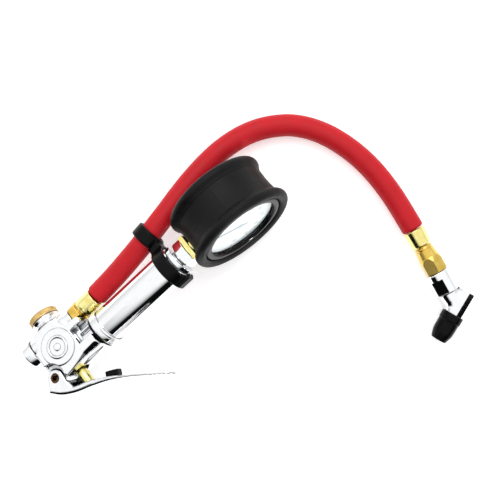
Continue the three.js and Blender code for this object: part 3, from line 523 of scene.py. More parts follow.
def hexagon(p, corner, start, end, turn=0.0, at=(0, 0, 0), ease=0.5):
    """A hexagonal bar along x, its corners eased by a cone at both ends."""
    x, y, z = (c - a for c, a in zip(p, at))
    flats = corner * math.cos(math.pi / 6)
    sides = -1e3 + 0 * y * z
    for k in range(3):
        facing = turn + math.pi / 6 + k * math.pi / 3
        sides = np.maximum(sides, np.abs(z * math.cos(facing) + y * math.sin(facing)) - flats)
    ends = np.abs(x - (start + end) / 2) - (end - start) / 2
    cone = 0.87 * (np.hypot(y, z) - 0.955 * corner) + 0.5 * ends
    return trim(trim(sides, ends, ease), cone, ease / 2)


def outline(x, y, points):
    """Distance in the plane to a closed outline, negative inside."""
    x, y = np.broadcast_arrays(x, y)
    nearest = np.full(x.shape, 1e9)
    inside = np.zeros(x.shape, bool)
    for (x0, y0), (x1, y1) in zip(points, [*points[1:], points[0]]):
        dx, dy = x1 - x0, y1 - y0
        t = np.clip(((x - x0) * dx + (y - y0) * dy) / (dx * dx + dy * dy), 0, 1)
        nearest = np.minimum(nearest, (x - x0 - t * dx) ** 2 + (y - y0 - t * dy) ** 2)
        if dy:
            inside ^= ((y0 > y) != (y1 > y)) & (x < x0 + (y - y0) * dx / dy)
    return np.where(inside, -1, 1) * np.sqrt(nearest)


def path_of(*parts):
    """An outline from corners (x, y) and curves (x, y, bend_x, bend_y) that bend towards a point."""
    points = [np.array(parts[0], float)]
    for part in parts[1:]:
        end = np.array(part[:2], float)
        if len(part) == 4:
            start, bend = points[-1], np.array(part[2:], float)
            points += [(1 - t) ** 2 * start + 2 * t * (1 - t) * bend + t * t * end for t in np.arange(1, 8) / 8]
        points.append(end)
    return [tuple(q) for q in points]


# %% Walk the skin of a field
CORNERS = np.array([(i, j, k) for i in (0, 1) for j in (0, 1) for k in (0, 1)])


def skin(field, low, high, step):
    """Points and faces of the surface where the field is zero."""
    low, high = np.array(low, float), np.array(high, float)
    lines = [np.arange(a, b + step, step) for a, b in zip(low, high)]
    values = field(np.meshgrid(*lines, indexing="ij", sparse=True))
    size = np.array(values.shape) - 1
    signs = values < 0
    full = sum(signs[i:i + size[0], j:j + size[1], k:k + size[2]].astype(int) for i, j, k in CORNERS)
    cells = np.argwhere((full > 0) & (full < 8))
    number = np.full(size, -1)
    number[tuple(cells.T)] = np.arange(len(cells))
    total, crossings = np.zeros((len(cells), 3)), np.zeros(len(cells))
    for a in CORNERS:
        for axis in range(3):
            if a[axis]:
                continue
            b = a + np.eye(3, dtype=int)[axis]
            va, vb = values[tuple((cells + a).T)], values[tuple((cells + b).T)]
            crosses = (va < 0) != (vb < 0)
            share = np.where(crosses, va / np.where(crosses, va - vb, 1), 0)
            total += np.where(crosses[:, None], a + share[:, None] * (b - a), 0)
            crossings += crosses
    points = low + (cells + total / crossings[:, None]) * step
    for _ in range(3):
        points = pulled(field, points, step)
    faces = []
    for axis in range(3):
        u, v = (axis + 1) % 3, (axis + 2) % 3
        near, far = [slice(None)] * 3, [slice(None)] * 3
        near[axis], far[axis] = slice(0, -1), slice(1, None)
        edges = np.argwhere(signs[tuple(near)] != signs[tuple(far)])
        edges = edges[(edges[:, u] > 0) & (edges[:, v] > 0) & (edges[:, u] < size[u]) & (edges[:, v] < size[v])]
        du, dv = np.eye(3, dtype=int)[u], np.eye(3, dtype=int)[v]
        quad = np.stack([number[tuple((edges - c).T)] for c in (du + dv, dv, 0 * du, du)], axis=1)
        flip = signs[tuple(edges.T)]
        quad[~flip] = quad[~flip][:, ::-1]
        faces += quad[(quad >= 0).all(axis=1)].tolist()
    return points, faces


def pulled(field, points, step):
    """The points moved along the field's slope on to its skin."""
    reach = step / 8
    here = field(list(points.T))
    slope = np.stack([
        (field(list((points + reach * e).T)) - field(list((points - reach * e).T))) / (2 * reach)
        for e in np.eye(3)], axis=1)
    steep = np.maximum((slope ** 2).sum(axis=1), 0.05)
    move = -slope * (here / steep)[:, None]
    length = np.linalg.norm(move, axis=1)[:, None]
    return points + move * np.minimum(1, step / np.maximum(length, 1e-9))


# %% [markdown]
# ## Valve body
# One zinc casting holds the valve. It is a flat-faced block with soft edges, and out of it grow the
# inlet neck, the rear port, the hose port and the barrel port. A raised round pad carries a plain
# wheel mark. Beside the hinge the block is cut back in an arc so that the lever's ears can turn.

# %% Field of the valve body
VALVE_AXIS = (-35.4, 0, 0)
BODY_HALF = 15
PIN_AT = (-49.8, -5.8, 0)
PIN_R = 2.9
TONGUE_HALF = 9
RELIEF_R = 9.8
PAD_AT = (-32.8, 8.3, 0)
PAD_R, PAD_PROUD = 12.9, 0.8
BODY_OUTLINE = path_of(
    (-7.4, -9.6), (-22, -9.6), (-39.6, -11.6), (-43.4, -6, -42.4, -9.6), (-50.6, 3.4, -46, 0), (-50.6, 15.4),
    (-45.6, 22, -47, 17), (-44.2, 27.4), (-27.4, 27.4), (-18.6, 17, -25.2, 18.4), (-10.4, 16.2),
    (-8.4, 13.4, -8.4, 15.6), (-8.4, 9.6), (-7.4, 8.6))
NECK = [(12, 9), (27, 9.6), (28.2, 9.6), (28.5, 10.1), (29.1, 10.1), (29.4, 9.6), (29.9, 9.6), (30.2, 10.1),
        (30.8, 10.1), (31.1, 9.6), (33, 9.6), (35.2, 10.6)]


def wheel_mark(p):
    """A ring and a hub, raised on the pad: a plain wheel."""
    x, y, z = p
    away = np.hypot(x - PAD_AT[0], y - PAD_AT[1])
    flat = np.minimum(np.abs(away - 7.2) - 0.7, away - 2.4)
    return trim(flat, np.abs(z - BODY_HALF) - PAD_PROUD - 0.55, 0.3)


def valve_body(p):
    x, y, z = p
    casting = trim(outline(x, y, BODY_OUTLINE), np.abs(z) - BODY_HALF, 2.2)
    edge = np.interp(x, (-38, -20, -7), (-11.3, -6.6, -5.9))
    for lean, down in ((50, 0), (62, 1.6)):
        away = -math.sin(math.radians(lean)) * (y - edge + down) + math.cos(math.radians(lean)) * (z - BODY_HALF)
        casting = trim(casting, away, 0.6)
    casting = weld(casting, bar(p, "y", NECK, 10, 35.2, VALVE_AXIS, 0.3), 2.4)
    casting = weld(casting, bar(p, "x", [(-24, 8.4), (-20, 7.2), (-15, 7.2)], -32, -15.8, CROSS_AXIS), 3.0)
    casting = weld(casting, bar(p, "x", [(-52.6, 8.7), (-48, 8.8), (-44, 9.6)], -52.6, -40, CROSS_AXIS), 2.0)
    casting = weld(casting, bar(p, "x", 11.2, -30, -7.4), 1.2)
    casting = weld(casting, bar(p, "z", PAD_R, 0, BODY_HALF + PAD_PROUD, PAD_AT, 0.6), 0.2)
    casting = weld(casting, wheel_mark(p), 0.15)
    for side in (9, -20):
        casting = carve(casting, bar(p, "z", RELIEF_R, side, side + 11, PIN_AT), 0.9)
    casting = weld(casting, bar(p, "z", 7.0, -TONGUE_HALF, TONGUE_HALF, PIN_AT, 0.9), 1.0)
    casting = weld(casting, block(p, (-52.6, -6, -TONGUE_HALF), (-40, 5, TONGUE_HALF), 0.9), 1.0)
    casting = carve(casting, block(p, (-18.8, -0.6, 8.4), (-2, 11.4, 24), 0.4), 0.6)
    casting = carve(casting, block(p, (-15, 7.8, 6), (-2, 11.4, 12), 0.4), 0.4)
    casting = carve(casting, bar(p, "x", 8.8, -15.8, 4, CROSS_AXIS, 0.4), 0.6)
    casting = carve(casting, bar(p, "z", PIN_R + 0.3, -24, 24, PIN_AT), 0.5)
    casting = carve(casting, bar(p, "y", 4.4, -24, 31, VALVE_AXIS), 0.5)
    casting = carve(casting, bar(p, "y", 6.8, -20, -5.6, VALVE_AXIS), 0.6)
    casting = carve(casting, bar(p, "y", 8.3, 29.6, 50, VALVE_AXIS), 0.4)
    casting = carve(casting, bar(p, "x", 6, -64, -42, CROSS_AXIS), 0.4)
    casting = carve(casting, bar(p, "x", 4.9, -28, -8, CROSS_AXIS), 0.4)
    return carve(casting, bar(p, "x", 10.3, -17, 4, (0, 0, 0), 0.4), 0.6)


set_piece("valve_body_made", *skin(valve_body, (-60, -14, -18), (-5, 39, 18), 0.42), TOOL,
          chrome_cast, "chrome", crisp=60)

# %% [markdown]
# ## Inlet, rear cap and plunger
# The inlet's brass ring is straight-knurled on its rim so that it can be held while it is screwed
# in, and threaded inside. The cap, the gland and the plunger are plain turning.

# %% Brass inlet ring
INLET_FACE, INLET_SEAT, INLET_R = 40.0, 35.5, 11.0
KNURLS = 80


def straight_knurl(angle, along, radius):
    """Grooves 0.2 mm deep along the rim, as a straight knurling wheel presses them."""
    on_rim = (radius > 10.8) & (along > INLET_SEAT + 0.3) & (along < INLET_FACE - 0.6)
    return np.where(on_rim, -0.2 * np.abs(np.sin(angle * KNURLS / 2)) ** 3, 0.0)


thread = [(5.8 + 0.5 * (k % 2), 39.4 - 0.6 * k) for k in range(15)]
inlet_ring = [(5.8, 30.4), (8, 30.4), (8, INLET_SEAT), (INLET_R, INLET_SEAT), (INLET_R, 36.6), (INLET_R, 38.2),
              (INLET_R, 39.4), (INLET_R - 0.6, INLET_FACE), (6.3, INLET_FACE), *thread]
set_piece("inlet_bushing_made", *turned(inlet_ring, "y", VALVE_AXIS, KNURLS * 4, 0.15, straight_knurl),
          TOOL, brass_aged, "brass")

# %% Rear cap, gland and plunger
rear_cap = [(0, -60.6), (9.5, -60.6), (10.2, -59.9), (10.2, -53.8), (9.4, -53), (5.6, -53),
            (5.6, -43), (0, -43)]
set_piece("rear_cap_made", *turned(rear_cap, "x", CROSS_AXIS, 112, 0.7), TOOL, chrome_cast, "chrome")
gland = [(4.4, -9.2), (6.2, -9.2), (6.4, -9.0), (6.4, -6), (4.4, -6)]
set_piece("plunger_gland_made", *turned(gland, "y", VALVE_AXIS, 72, 0.2), TOOL, brass_turned, "brass")
DOME_R, PLUNGER_TIP = 5.5, -23.8
dome = [(r, PLUNGER_TIP + DOME_R - math.sqrt(DOME_R ** 2 - r * r)) for r in (0, 0.8, 1.6, 2.4, 3.1, 3.7)]
plunger = [*dome, (4.05, -21.7), (4.05, -3), (1.5, -3), (1.5, 3), (0, 3)]
set_piece("trigger_plunger_made", *turned(plunger, "y", VALVE_AXIS, 72, 0.15), TOOL, brass_turned, "brass",
          "plunger")

# %% [markdown]
# ## Lever
# The lever is pressed from 2 mm steel into a channel: a curved web with two side flanges that are
# deep at the hinge, where they become the ears, and shallow towards the tip. Small grooves across
# the tip keep the fingers from slipping.

# %% Field of the lever
LEVER_HALF, TIP_HALF, SHEET = 11.5, 9.0, 2.0
TIP_START, TIP_END = 10.0, 21.4
EAR_R = 7.2
LEVER_LINE = smooth_line([(-60.4, -11, 0), (-53.8, -17.7, 0), (-44.4, -23.2, 0), (-31.6, -27.8, 0),
                          (-18.6, -33.2, 0), (-6, -40.4, 0), (8, -50.4, 0), (20.6, -59.5, 0)], 5)[:, :2]


def inset(line, depth):
    """The line moved inwards, towards the barrel, by a depth that may vary along it."""
    ahead = np.gradient(line, axis=0)
    ahead /= np.linalg.norm(ahead, axis=1)[:, None]
    return line + np.stack([-ahead[:, 1], ahead[:, 0]], axis=1) * np.broadcast_to(depth, len(line))[:, None]


share = np.linspace(0, 1, len(LEVER_LINE))
flange_line = inset(LEVER_LINE, np.maximum(SHEET, 5 - 3.4 * np.maximum(0, share - 0.42) / 0.3))
ear = [(PIN_AT[0] + EAR_R * math.cos(a), PIN_AT[1] + EAR_R * math.sin(a))
       for a in np.radians(np.linspace(135, 10, 14))]
LEVER_SIDE = [tuple(LEVER_LINE[0]), (-55, -0.4), *ear, (-43.4, -12),
              *[tuple(q) for q in flange_line if q[0] > -43.6], *[tuple(q) for q in LEVER_LINE[:0:-1]]]
web_line = inset(LEVER_LINE, SHEET)
LEVER_HOLLOW = [(web_line[0][0] - 3, web_line[0][1] + 3), *[tuple(q) for q in web_line], (40, 20), (-70, 20)]
GRIPS = [LEVER_LINE[k] for k in range(len(LEVER_LINE) - 7, len(LEVER_LINE) - 1)]


def lever_half_width(x):
    """Half the lever's width in plan: parallel, then tapering, then round at the tip."""
    t = 1 - np.sqrt(1 - np.clip((x - TIP_START) / (TIP_END - TIP_START), 0, 1))
    return np.interp(x, (-30, TIP_START), (LEVER_HALF, TIP_HALF)) * (1 - t * t)


def trigger_lever(p):
    x, y, z = p
    half = lever_half_width(x)
    lever = trim(outline(x, y, LEVER_SIDE), np.abs(z) - half, 3.0)
    hollow = trim(outline(x, y, LEVER_HOLLOW), np.abs(z) - np.maximum(half - SHEET, 0.01), 1.2)
    lever = carve(lever, hollow, 0.7)
    for gx, gy in GRIPS:
        lever = carve(lever, bar(p, "z", 0.7, -12, 12, (gx, gy, 0)), 0.3)
    return carve(lever, bar(p, "z", PIN_R + 0.3, -24, 24, PIN_AT), 0.4)


set_piece("trigger_lever_made", *skin(trigger_lever, (-63, -62.5, -13), (24, 5, 13), 0.42), TOOL,
          chrome_pressed, "chrome", "lever", crisp=60)

# %% Roll pin and rubber bumper
def roll_pin():
    """Spring steel rolled into a tube, with the slit that lets it close as it is driven in."""
    slit = math.radians(16)
    angles = np.linspace(slit, 2 * math.pi - slit, 45)
    ends = (-11.7, 11.7)
    rim = [(r, z) for z in ends for r in ((1.9, 2.9) if z < 0 else (2.9, 1.9))]
    points = [(PIN_AT[0] + r * math.cos(a), PIN_AT[1] + r * math.sin(a), z) for a in angles for r, z in rim]
    faces = [(4 * i + k, 4 * i + (k + 1) % 4, 4 * i + 4 + (k + 1) % 4, 4 * i + 4 + k)
             for i in range(len(angles) - 1) for k in range(4)]
    return points, [*faces, (0, 1, 2, 3), tuple(4 * (len(angles) - 1) + k for k in range(4))]


set_piece("lever_pin_made", *roll_pin(), TOOL, browned_steel, "steel")
BUMPER_SHARE = 0.566
at = BUMPER_SHARE * (len(LEVER_LINE) - 1)
bumper_foot = [np.interp(at, range(len(LEVER_LINE)), inset(LEVER_LINE, SHEET + 0.3)[:, i]) for i in (0, 1)]
lean = np.gradient(LEVER_LINE, axis=0)
bumper_turn = math.atan2(np.interp(at, range(len(lean)), lean[:, 1]), np.interp(at, range(len(lean)), lean[:, 0]))
BUMPER = TOOL @ Matrix.Translation((*bumper_foot, 0)) @ Matrix.Rotation(bumper_turn, 4, "Z")


def bumper(p):
    x, y, z = p
    pad = block(p, (-4.9, 0, -3.6), (4.9, 5.2, 3.6), 1.1)
    return trim(pad, y + 0.008 * x * x - 5.2, 0.6)


set_piece("lever_bumper_made", *skin(bumper, (-6, -1, -4.5), (6, 7, 4.5), 0.25), BUMPER, seal_rubber,
          "black_rubber", "lever", crisp=60)

# %% [markdown]
# ## Barrel
# A chromed tube with turned rings at both ends. The ring at the body end has a narrow groove, and a
# black sealing ring shows in the neck beside it. The cap at the gauge end has a spanner notch.

# %% Barrel, collar, seal and end cap
BARREL_R, BARREL_END = 12.7, 67.6
barrel = [(5, -16.6), (9.6, -16.6), (10, -16.2), (10, -7.2), (11, -7.2), (11, -5), (BARREL_R, -5),
          (BARREL_R, BARREL_END - 1), (BARREL_R - 1, BARREL_END), (7.4, BARREL_END), (7.4, 60.6), (5, 60.6)]
set_piece("barrel_tube_made", *turned(barrel, "x", (0, 0, 0), 144, 0.3), TOOL, chrome_tube, "chrome")
collar = [(13.0, -4.8), (13.9, -4.8), (14.5, -4.1), (14.5, -1.1), (14.2, -0.8), (14.5, -0.5), (14.5, 0.4),
          (13.9, 1.2), (13.0, 1.2)]
set_piece("barrel_collar_made", *turned(collar, "x", (0, 0, 0), 144, 0.25), TOOL, chrome_tube, "chrome")
neck_seal = [(11.3, -7.1), (12.3, -7.1), (12.3, -5.3), (11.3, -5.3)]
set_piece("barrel_seal_made", *turned(neck_seal, "x", (0, 0, 0), 96, 0.45), TOOL, seal_rubber, "black_rubber")
end_cap = [(4, 61), (7.1, 61), (7.1, 67.9), (11.3, 67.9), (11.6, 68.2), (11.6, 71.1), (11.3, 71.4), (4, 71.4)]


def spanner_notch(angle, along, radius):
    """A notch in the cap's rim for a pin spanner."""
    turn = np.abs((angle - math.radians(118) + math.pi) % (2 * math.pi) - math.pi)
    return np.where((turn < 0.1) & (radius > 9.2) & (along > 67.5), -1.2, 0.0)


set_piece("barrel_end_cap_made", *turned(end_cap, "x", (0, 0, 0), 144, 0.25, spanner_notch), TOOL,
          chrome_tube, "chrome")

# %% [markdown]
# ## Hose clip
# A moulded figure of eight: one loop snaps on the barrel, the other guides the hose past it, and a
# flat lug closes the barrel loop. Its edges are well rounded, and it is slightly glossy.

# %% Field of the clip
CLIP_FROM, CLIP_TO, CLIP_WALL = 57.6, 67.4, 1.9
CLIP_MID, CLIP_HALF = (CLIP_FROM + CLIP_TO) / 2, (CLIP_TO - CLIP_FROM) / 2
HOSE_LOOP = (Matrix.Translation((CLIP_MID, 27.7, 0)) @ Matrix.Rotation(math.radians(8), 4, "Z")
             @ Matrix.Rotation(math.radians(5), 4, "Y")).inverted()
LUG = path_of((CLIP_FROM + 0.9, -8), (CLIP_FROM + 0.9, -16.2), (CLIP_TO + 1.4, -16.2), (CLIP_TO + 2.8, -14.2),
              (CLIP_TO + 2.8, -12.9), (CLIP_TO - 0.4, -11.6), (CLIP_TO - 0.4, -8))


def in_frame(p, matrix):
    """The same points, measured in another frame."""
    return [sum(matrix[i][j] * p[j] for j in range(3)) + matrix[i][3] for i in range(3)]


def hose_clip(p):
    x, y, z = p
    q = in_frame(p, HOSE_LOOP)
    clip = bar(p, "x", BARREL_R + 0.3 + CLIP_WALL, CLIP_FROM, CLIP_TO, ease=1.4)
    clip = weld(clip, bar(q, "x", HOSE_R + 0.9 + CLIP_WALL, -CLIP_HALF, CLIP_HALF, ease=1.4), 2.0)
    clip = weld(clip, block(p, (CLIP_FROM + 0.4, 8, -5), (CLIP_TO - 0.4, 22, 5), 1.4), 1.5)
    clip = weld(clip, trim(outline(x, y, LUG), np.abs(z) - 4, 0.9), 1.5)
    clip = carve(clip, bar(q, "x", HOSE_R + 0.9, -20, 20), 0.8)
    return carve(clip, bar(p, "x", BARREL_R + 0.3, 40, 90), 0.8)


set_piece("hose_clip_made", *skin(hose_clip, (55, -18, -16), (70, 41, 16), 0.4), TOOL, nylon, "black_plastic",
          crisp=60)

# %% [markdown]
# ## Hexagons, gauge stem and chuck coupling
# Each nut is cut from hexagon bar and its corners are chamfered on the lathe. The gauge's stem has
# a square shank for a spanner.

# %% Nuts and stem
def hose_nut(p):
    nut = hexagon(p, 14.2 / 2 / math.cos(math.pi / 6), -15.2, -9.2, math.radians(30), CROSS_AXIS, 0.3)
    nut = weld(nut, bar(p, "x", 4.6, -26, -14, CROSS_AXIS), 0.2)
    nut = weld(nut, bar(p, "x", 5.6, -10, -8.6, CROSS_AXIS, 0.3), 0.2)
    return carve(nut, bar(p, "x", PASSAGE_R, -32, 0, CROSS_AXIS), 0.3)


def gauge_nut(p):
    nut = hexagon(p, 18 / 2 / math.cos(math.pi / 6), 73.0, 79.9, math.radians(8), ease=0.3)
    nut = weld(nut, bar(p, "x", 6.6, 71.7, 74), 0.3)
    return carve(nut, bar(p, "x", 4.6, 68, 84), 0.3)


def gauge_stem(p):
    shank = block(p, (80.2, -9.2, -7.6), (83.7, 9.2, 7.6), 0.3)
    shank = weld(shank, bar(p, "x", 4.3, 71.8, 82), 0.3)
    shank = weld(shank, bar(p, "x", 6.4, 83, 88.8), 0.4)
    return carve(shank, bar(p, "x", 1.5, 60, 100), 0.3)


RIDGE_R = 8.3
COUPLING = [(13.2, 4.9), (13.9, 4.9), (14.0, 6.5), (15.1, 6.7), (15.2, 5.5), (15.9, 5.5), (16.0, 6.4), (21.8, 7.15),
            (25.6, RIDGE_R), (33.0, RIDGE_R), (34.0, 7.5)]


def hose_coupling(p):
    coupling = hexagon(p, RIDGE_R, 10, 38, math.radians(6), ease=0.2)
    coupling = trim(coupling, bar(p, "x", COUPLING, 13.2, 34, ease=0.2), 0.12)
    coupling = carve(coupling, bar(p, "x", PASSAGE_R, 10, 40), 0.3)
    return carve(coupling, bar(p, "x", 4.9, 24, 40), 0.3)


set_piece("hose_nut_made", *skin(hose_nut, (-27, 12, -10), (-7, 33, 10), 0.25), TOOL, brass_hex, "brass", crisp=32)
set_piece("gauge_nut_made", *skin(gauge_nut, (70, -12, -12), (82, 12, 12), 0.28), TOOL, chrome_tube, "chrome",
          crisp=32)
set_piece("gauge_stem_made", *skin(gauge_stem, (70, -10.5, -9), (90, 10.5, 9), 0.28), TOOL, brass_turned, "brass",
          crisp=32)
set_piece("hose_coupling_made", *skin(hose_coupling, (12, -10, -10), (36, 10, 10), 0.2), CHUCK, brass_hex,
          "brass", crisp=32)

# %% [markdown]
# ## Gauge
# The boot is a waisted ring of rubber with two rolled rims and a faint mould line down its side. A
# glossy black bezel holds the window, and the white dial sits just behind it.

# %% Boot and bezel
GAUGE_AXIS = (118, 0, 0)
GAUGE_R = 30.7


def boot_section():
    section = [(GAUGE_R, -13.2), (31.0, -13.4), (31.0, -15.9), (31.6, -16.7), (32.6, -17.4)]
    section += [(34.45 + 3.6 * math.cos(a), -14.2 + 3.6 * math.sin(a)) for a in np.radians(range(-95, 46, 10))]
    section += [(35.9, -10.8), (34.9, -10.2), (34.5, -9.4), (34.2, -6.8), (33.8, -3), (33.7, 1), (33.9, 6), (34.1, 10.6), (34.6, 11.0), (34.8, 12.0)]
    section += [(33.2 + 3.6 * math.cos(a), 16 + 3.6 * math.sin(a)) for a in np.radians(range(-42, 91, 10))]
    return section + [(26, 19.6), (26, 15.4), (GAUGE_R, 15.4)]


def mould_line(angle, along, radius):
    """The line where the halves of the mould met, one tenth of a millimetre proud."""
    turn = np.abs((angle - math.radians(79) + math.pi) % (2 * math.pi) - math.pi)
    return np.where(radius > 33, 0.2 * np.exp(-(turn / 0.008) ** 2), 0.0) + 0 * along


set_piece("gauge_boot_made", *turned(boot_section(), "y", GAUGE_AXIS, 288, 0.4, mould_line), TOOL, boot_rubber,
          "black_rubber", crisp=60)
bezel = [(25.9, -14.7), (26.2, -15.6), (27.0, -16.2), (29.6, -16.2), (30.3, -15.8), (30.6, -15.0), (30.6, -13.9),
         (28.4, -13.7), (28.4, -14.2), (25.9, -14.4)]
set_piece("bezel_made", *turned(bezel, "y", GAUGE_AXIS, 192, 0.3), TOOL, gloss_abs, "black_plastic")
window = [(0, -14.2), (28.2, -14.0), (28.2, -13.3), (0, -13.4)]
set_piece("gauge_lens_made", *turned(window, "y", GAUGE_AXIS, 128, 0.3), TOOL, window_plastic, "clear_lens")

# %% [markdown]
# The dial reads from 0 to 160 over three quarters of a turn. Its marks and figures are printed, so
# they are thin raised ink: bars for the marks, and figures from Blender's own plain font.

# %% Dial with its marks and figures
DIAL = TOOL @ Matrix.Translation(GAUGE_AXIS) @ Matrix(((0, 1, 0, 0), (0, 0, -1, 0), (-1, 0, 0, 0), (0, 0, 0, 1)))
DIAL_TOP = 12.3
INK = 0.05
dial = [(1.4, -DIAL_TOP), (26.5, -DIAL_TOP), (26.5, -10.2), (26.3, -9.5), (1.4, -9.5)]
set_piece("dial_plate_made", *turned(dial, "y", GAUGE_AXIS, 128, 0.1), TOOL, enamel, "dial_enamel")


def dial_angle(reading):
    return math.radians(225 - 270 * reading / 160)


def add_bar(points, faces, angle, inner, outer, width):
    """One printed mark: a thin bar on the dial that points at the centre."""
    across = np.array((-math.sin(angle), math.cos(angle)))
    outward = np.array((math.cos(angle), math.sin(angle)))
    first = len(points)
    for height in (DIAL_TOP + 0.01, DIAL_TOP + INK):
        for r, w in ((inner, -1), (inner, 1), (outer, 1), (outer, -1)):
            points.append((*(outward * r + across * w * width / 2), height))
    faces += [tuple(first + k for k in face) for face in
              ((0, 1, 2, 3), (4, 7, 6, 5), (0, 4, 5, 1), (1, 5, 6, 2), (2, 6, 7, 3), (3, 7, 4, 0))]


mark_points, mark_faces = [], []
for reading in range(0, 161, 5):
    longer = reading % 20 == 0
    add_bar(mark_points, mark_faces, dial_angle(reading), 21.6 if longer else 23.2, 25.0, 0.5 if longer else 0.25)
set_piece("dial_marks", mark_points, mark_faces, DIAL, print_ink, "dial_enamel", nodes=[])


def figure(reading):
    """A printed number, centred where it belongs on the dial."""
    text = bpy.data.curves.new(f"figure_{reading}", "FONT")
    text.body = str(reading)
    text.size = 4.2
    text.extrude = INK / 2
    text.align_x, text.align_y = "CENTER", "CENTER"
    holder = bpy.data.objects.new(text.name, text)
    mesh = bpy.data.meshes.new_from_object(holder)
    angle = dial_angle(reading)
    mesh.transform(DIAL @ Matrix.Translation((17.6 * math.cos(angle), 17.6 * math.sin(angle), DIAL_TOP + INK)))
    bpy.data.objects.remove(holder)
    mesh.materials.clear()
    mesh.materials.append(print_ink)
    piece = bpy.data.objects.new(text.name, mesh)
    scene.collection.objects.link(piece)
    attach(piece, "inflator")


for reading in range(0, 161, 20):
    figure(reading)
print("figures on the dial:", len(range(0, 161, 20)))

# %% Pointer
def pointer(p):
    x, y, z = p
    half_width = np.interp(y, (-6.5, 0, 21), (0.9, 1.0, 0.2))
    blade = trim(np.abs(x) - half_width, np.abs(y - 7.25) - 13.75, 0.2)
    blade = trim(blade, np.abs(z - 12.75) - 0.2, 0.15)
    hub = bar(p, "z", 2, 12.5, 13.1, ease=0.2)
    return carve(weld(blade, hub, 0.3), bar(p, "z", 0.9, 9, 12.8), 0.1)


set_piece("pointer_made", *skin(pointer, (-3, -8, 12.3), (3, 22, 13.3), 0.16),
          DIAL @ Matrix.Rotation(math.radians(135), 4, "Z"), print_ink, "black_plastic", "pointer", crisp=40)

# %% [markdown]
# ## Chuck
# The chuck is one chromed casting: a stem with a cone shoulder and two spanner flats, and a head
# that crosses it at an angle. The hard rubber nose pushes over the tyre valve, and a brass pin in
# it opens the valve's core.

# %% Field of the chuck body
STEM_END = 60.6
STEM = [(34.3, 8.1), (35.2, 8.5), (50, 8.5), (50.7, 7.1), (56, 6.4), (STEM_END, 5)]
FLAT_TILT = math.radians(-31)
TO_HEAD = (Matrix.Translation((KNEE, 0, 0)) @ Matrix.Rotation(HEAD_TURN, 4, "Z")).inverted()


def chuck_body(p):
    x, y, z = p
    stem = bar(p, "x", STEM, 34.3, STEM_END, ease=0.4)
    across = np.abs(z * math.cos(FLAT_TILT) + y * math.sin(FLAT_TILT))
    spanner = trim(7.15 - across, np.abs(x - 44.55) - 5.25, 0.1)
    stem = carve(stem, spanner, 0.15)
    stem = weld(stem, bar(p, "x", 4.6, 24.5, 36), 0.3)
    q = in_frame(p, TO_HEAD)
    head = weld(bar(q, "x", 6.6, -13.8, 6.2, ease=0.8), bar(q, "x", 5.9, 4, 10.9), 0.3)
    head = trim(head, 0.574 * q[1] + 0.819 * q[2] - 6.0, 0.15)
    head = carve(head, bar(q, "x", 5.0, -16, -12.9, ease=0.3), 0.4)
    body = weld(stem, head, 3.0)
    body = carve(body, bar(p, "x", 1.8, 20, KNEE), 0.3)
    return carve(body, bar(q, "x", 4.2, -5, 14), 0.3)


set_piece("chuck_body_made", *skin(chuck_body, (23, -14, -10), (76, 14, 10), 0.34), CHUCK, chrome_cast, "chrome",
          crisp=50)

# %% Nose, seal and pin of the chuck
nose = [(6.9, 4.9), (7.6, 4.9), (8.0, 5.4), (8.0, 10.4), (7.5, 10.8), (7.45, 17.0), (7.3, 19.8), (6.7, 22.0),
        (5.7, 25.2), (5.1, 25.9), (4.4, 25.9), (4.4, 13.1), (6.2, 13.1), (6.2, 6.5), (6.9, 6.5)]
set_piece("chuck_nose_made", *turned(nose, "x", (0, 0, 0), 112, 0.3), HEAD, nose_rubber, "black_rubber")
set_piece("chuck_seal_made", *turned([(1.8, 11.2), (5.9, 11.2), (5.9, 12.8), (1.8, 12.8)], "x", ease=0.3), HEAD,
          seal_rubber, "black_rubber")
pin = [(0, 1), (1.2, 1), (1.2, 6.6), (3.8, 6.6), (3.8, 7.8), (1.2, 7.8), (1.2, 14.6), (0.8, 15), (0, 15)]
set_piece("chuck_pin_made", *turned(pin, "x", sides=64, ease=0.15), HEAD, brass_turned, "brass", "chuck_pin")

# %% [markdown]
# ## Hidden pieces
# The valve's inner parts and the gauge's movement keep their CAD shapes, which are right as they
# are, and get the finish of the real ones.

# %% Finish the carried-over nodes
HIDDEN = {
    "inlet_screen": steel, "spool_spring": steel, "gauge_case": steel, "chuck_spring": steel,
    "rear_cap_seal": seal_rubber, "spool_seal_lower": seal_rubber, "spool_seal_upper": seal_rubber,
    "valve_spool": brass_turned, "sector_gear": brass_inside, "pinion_shaft": brass_inside,
    "movement_plate_back": brass_inside, "movement_plate_front": brass_inside, "hairspring": brass_inside,
    "bourdon_tube": brass_inside, "bourdon_socket": brass_inside, "bourdon_tip": brass_inside,
    "movement_link": brass_inside,
}
for name, material in HIDDEN.items():
    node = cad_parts[name]
    node.data.materials.clear()
    node.data.materials.append(material)
print(len(HIDDEN), "nodes carried over")
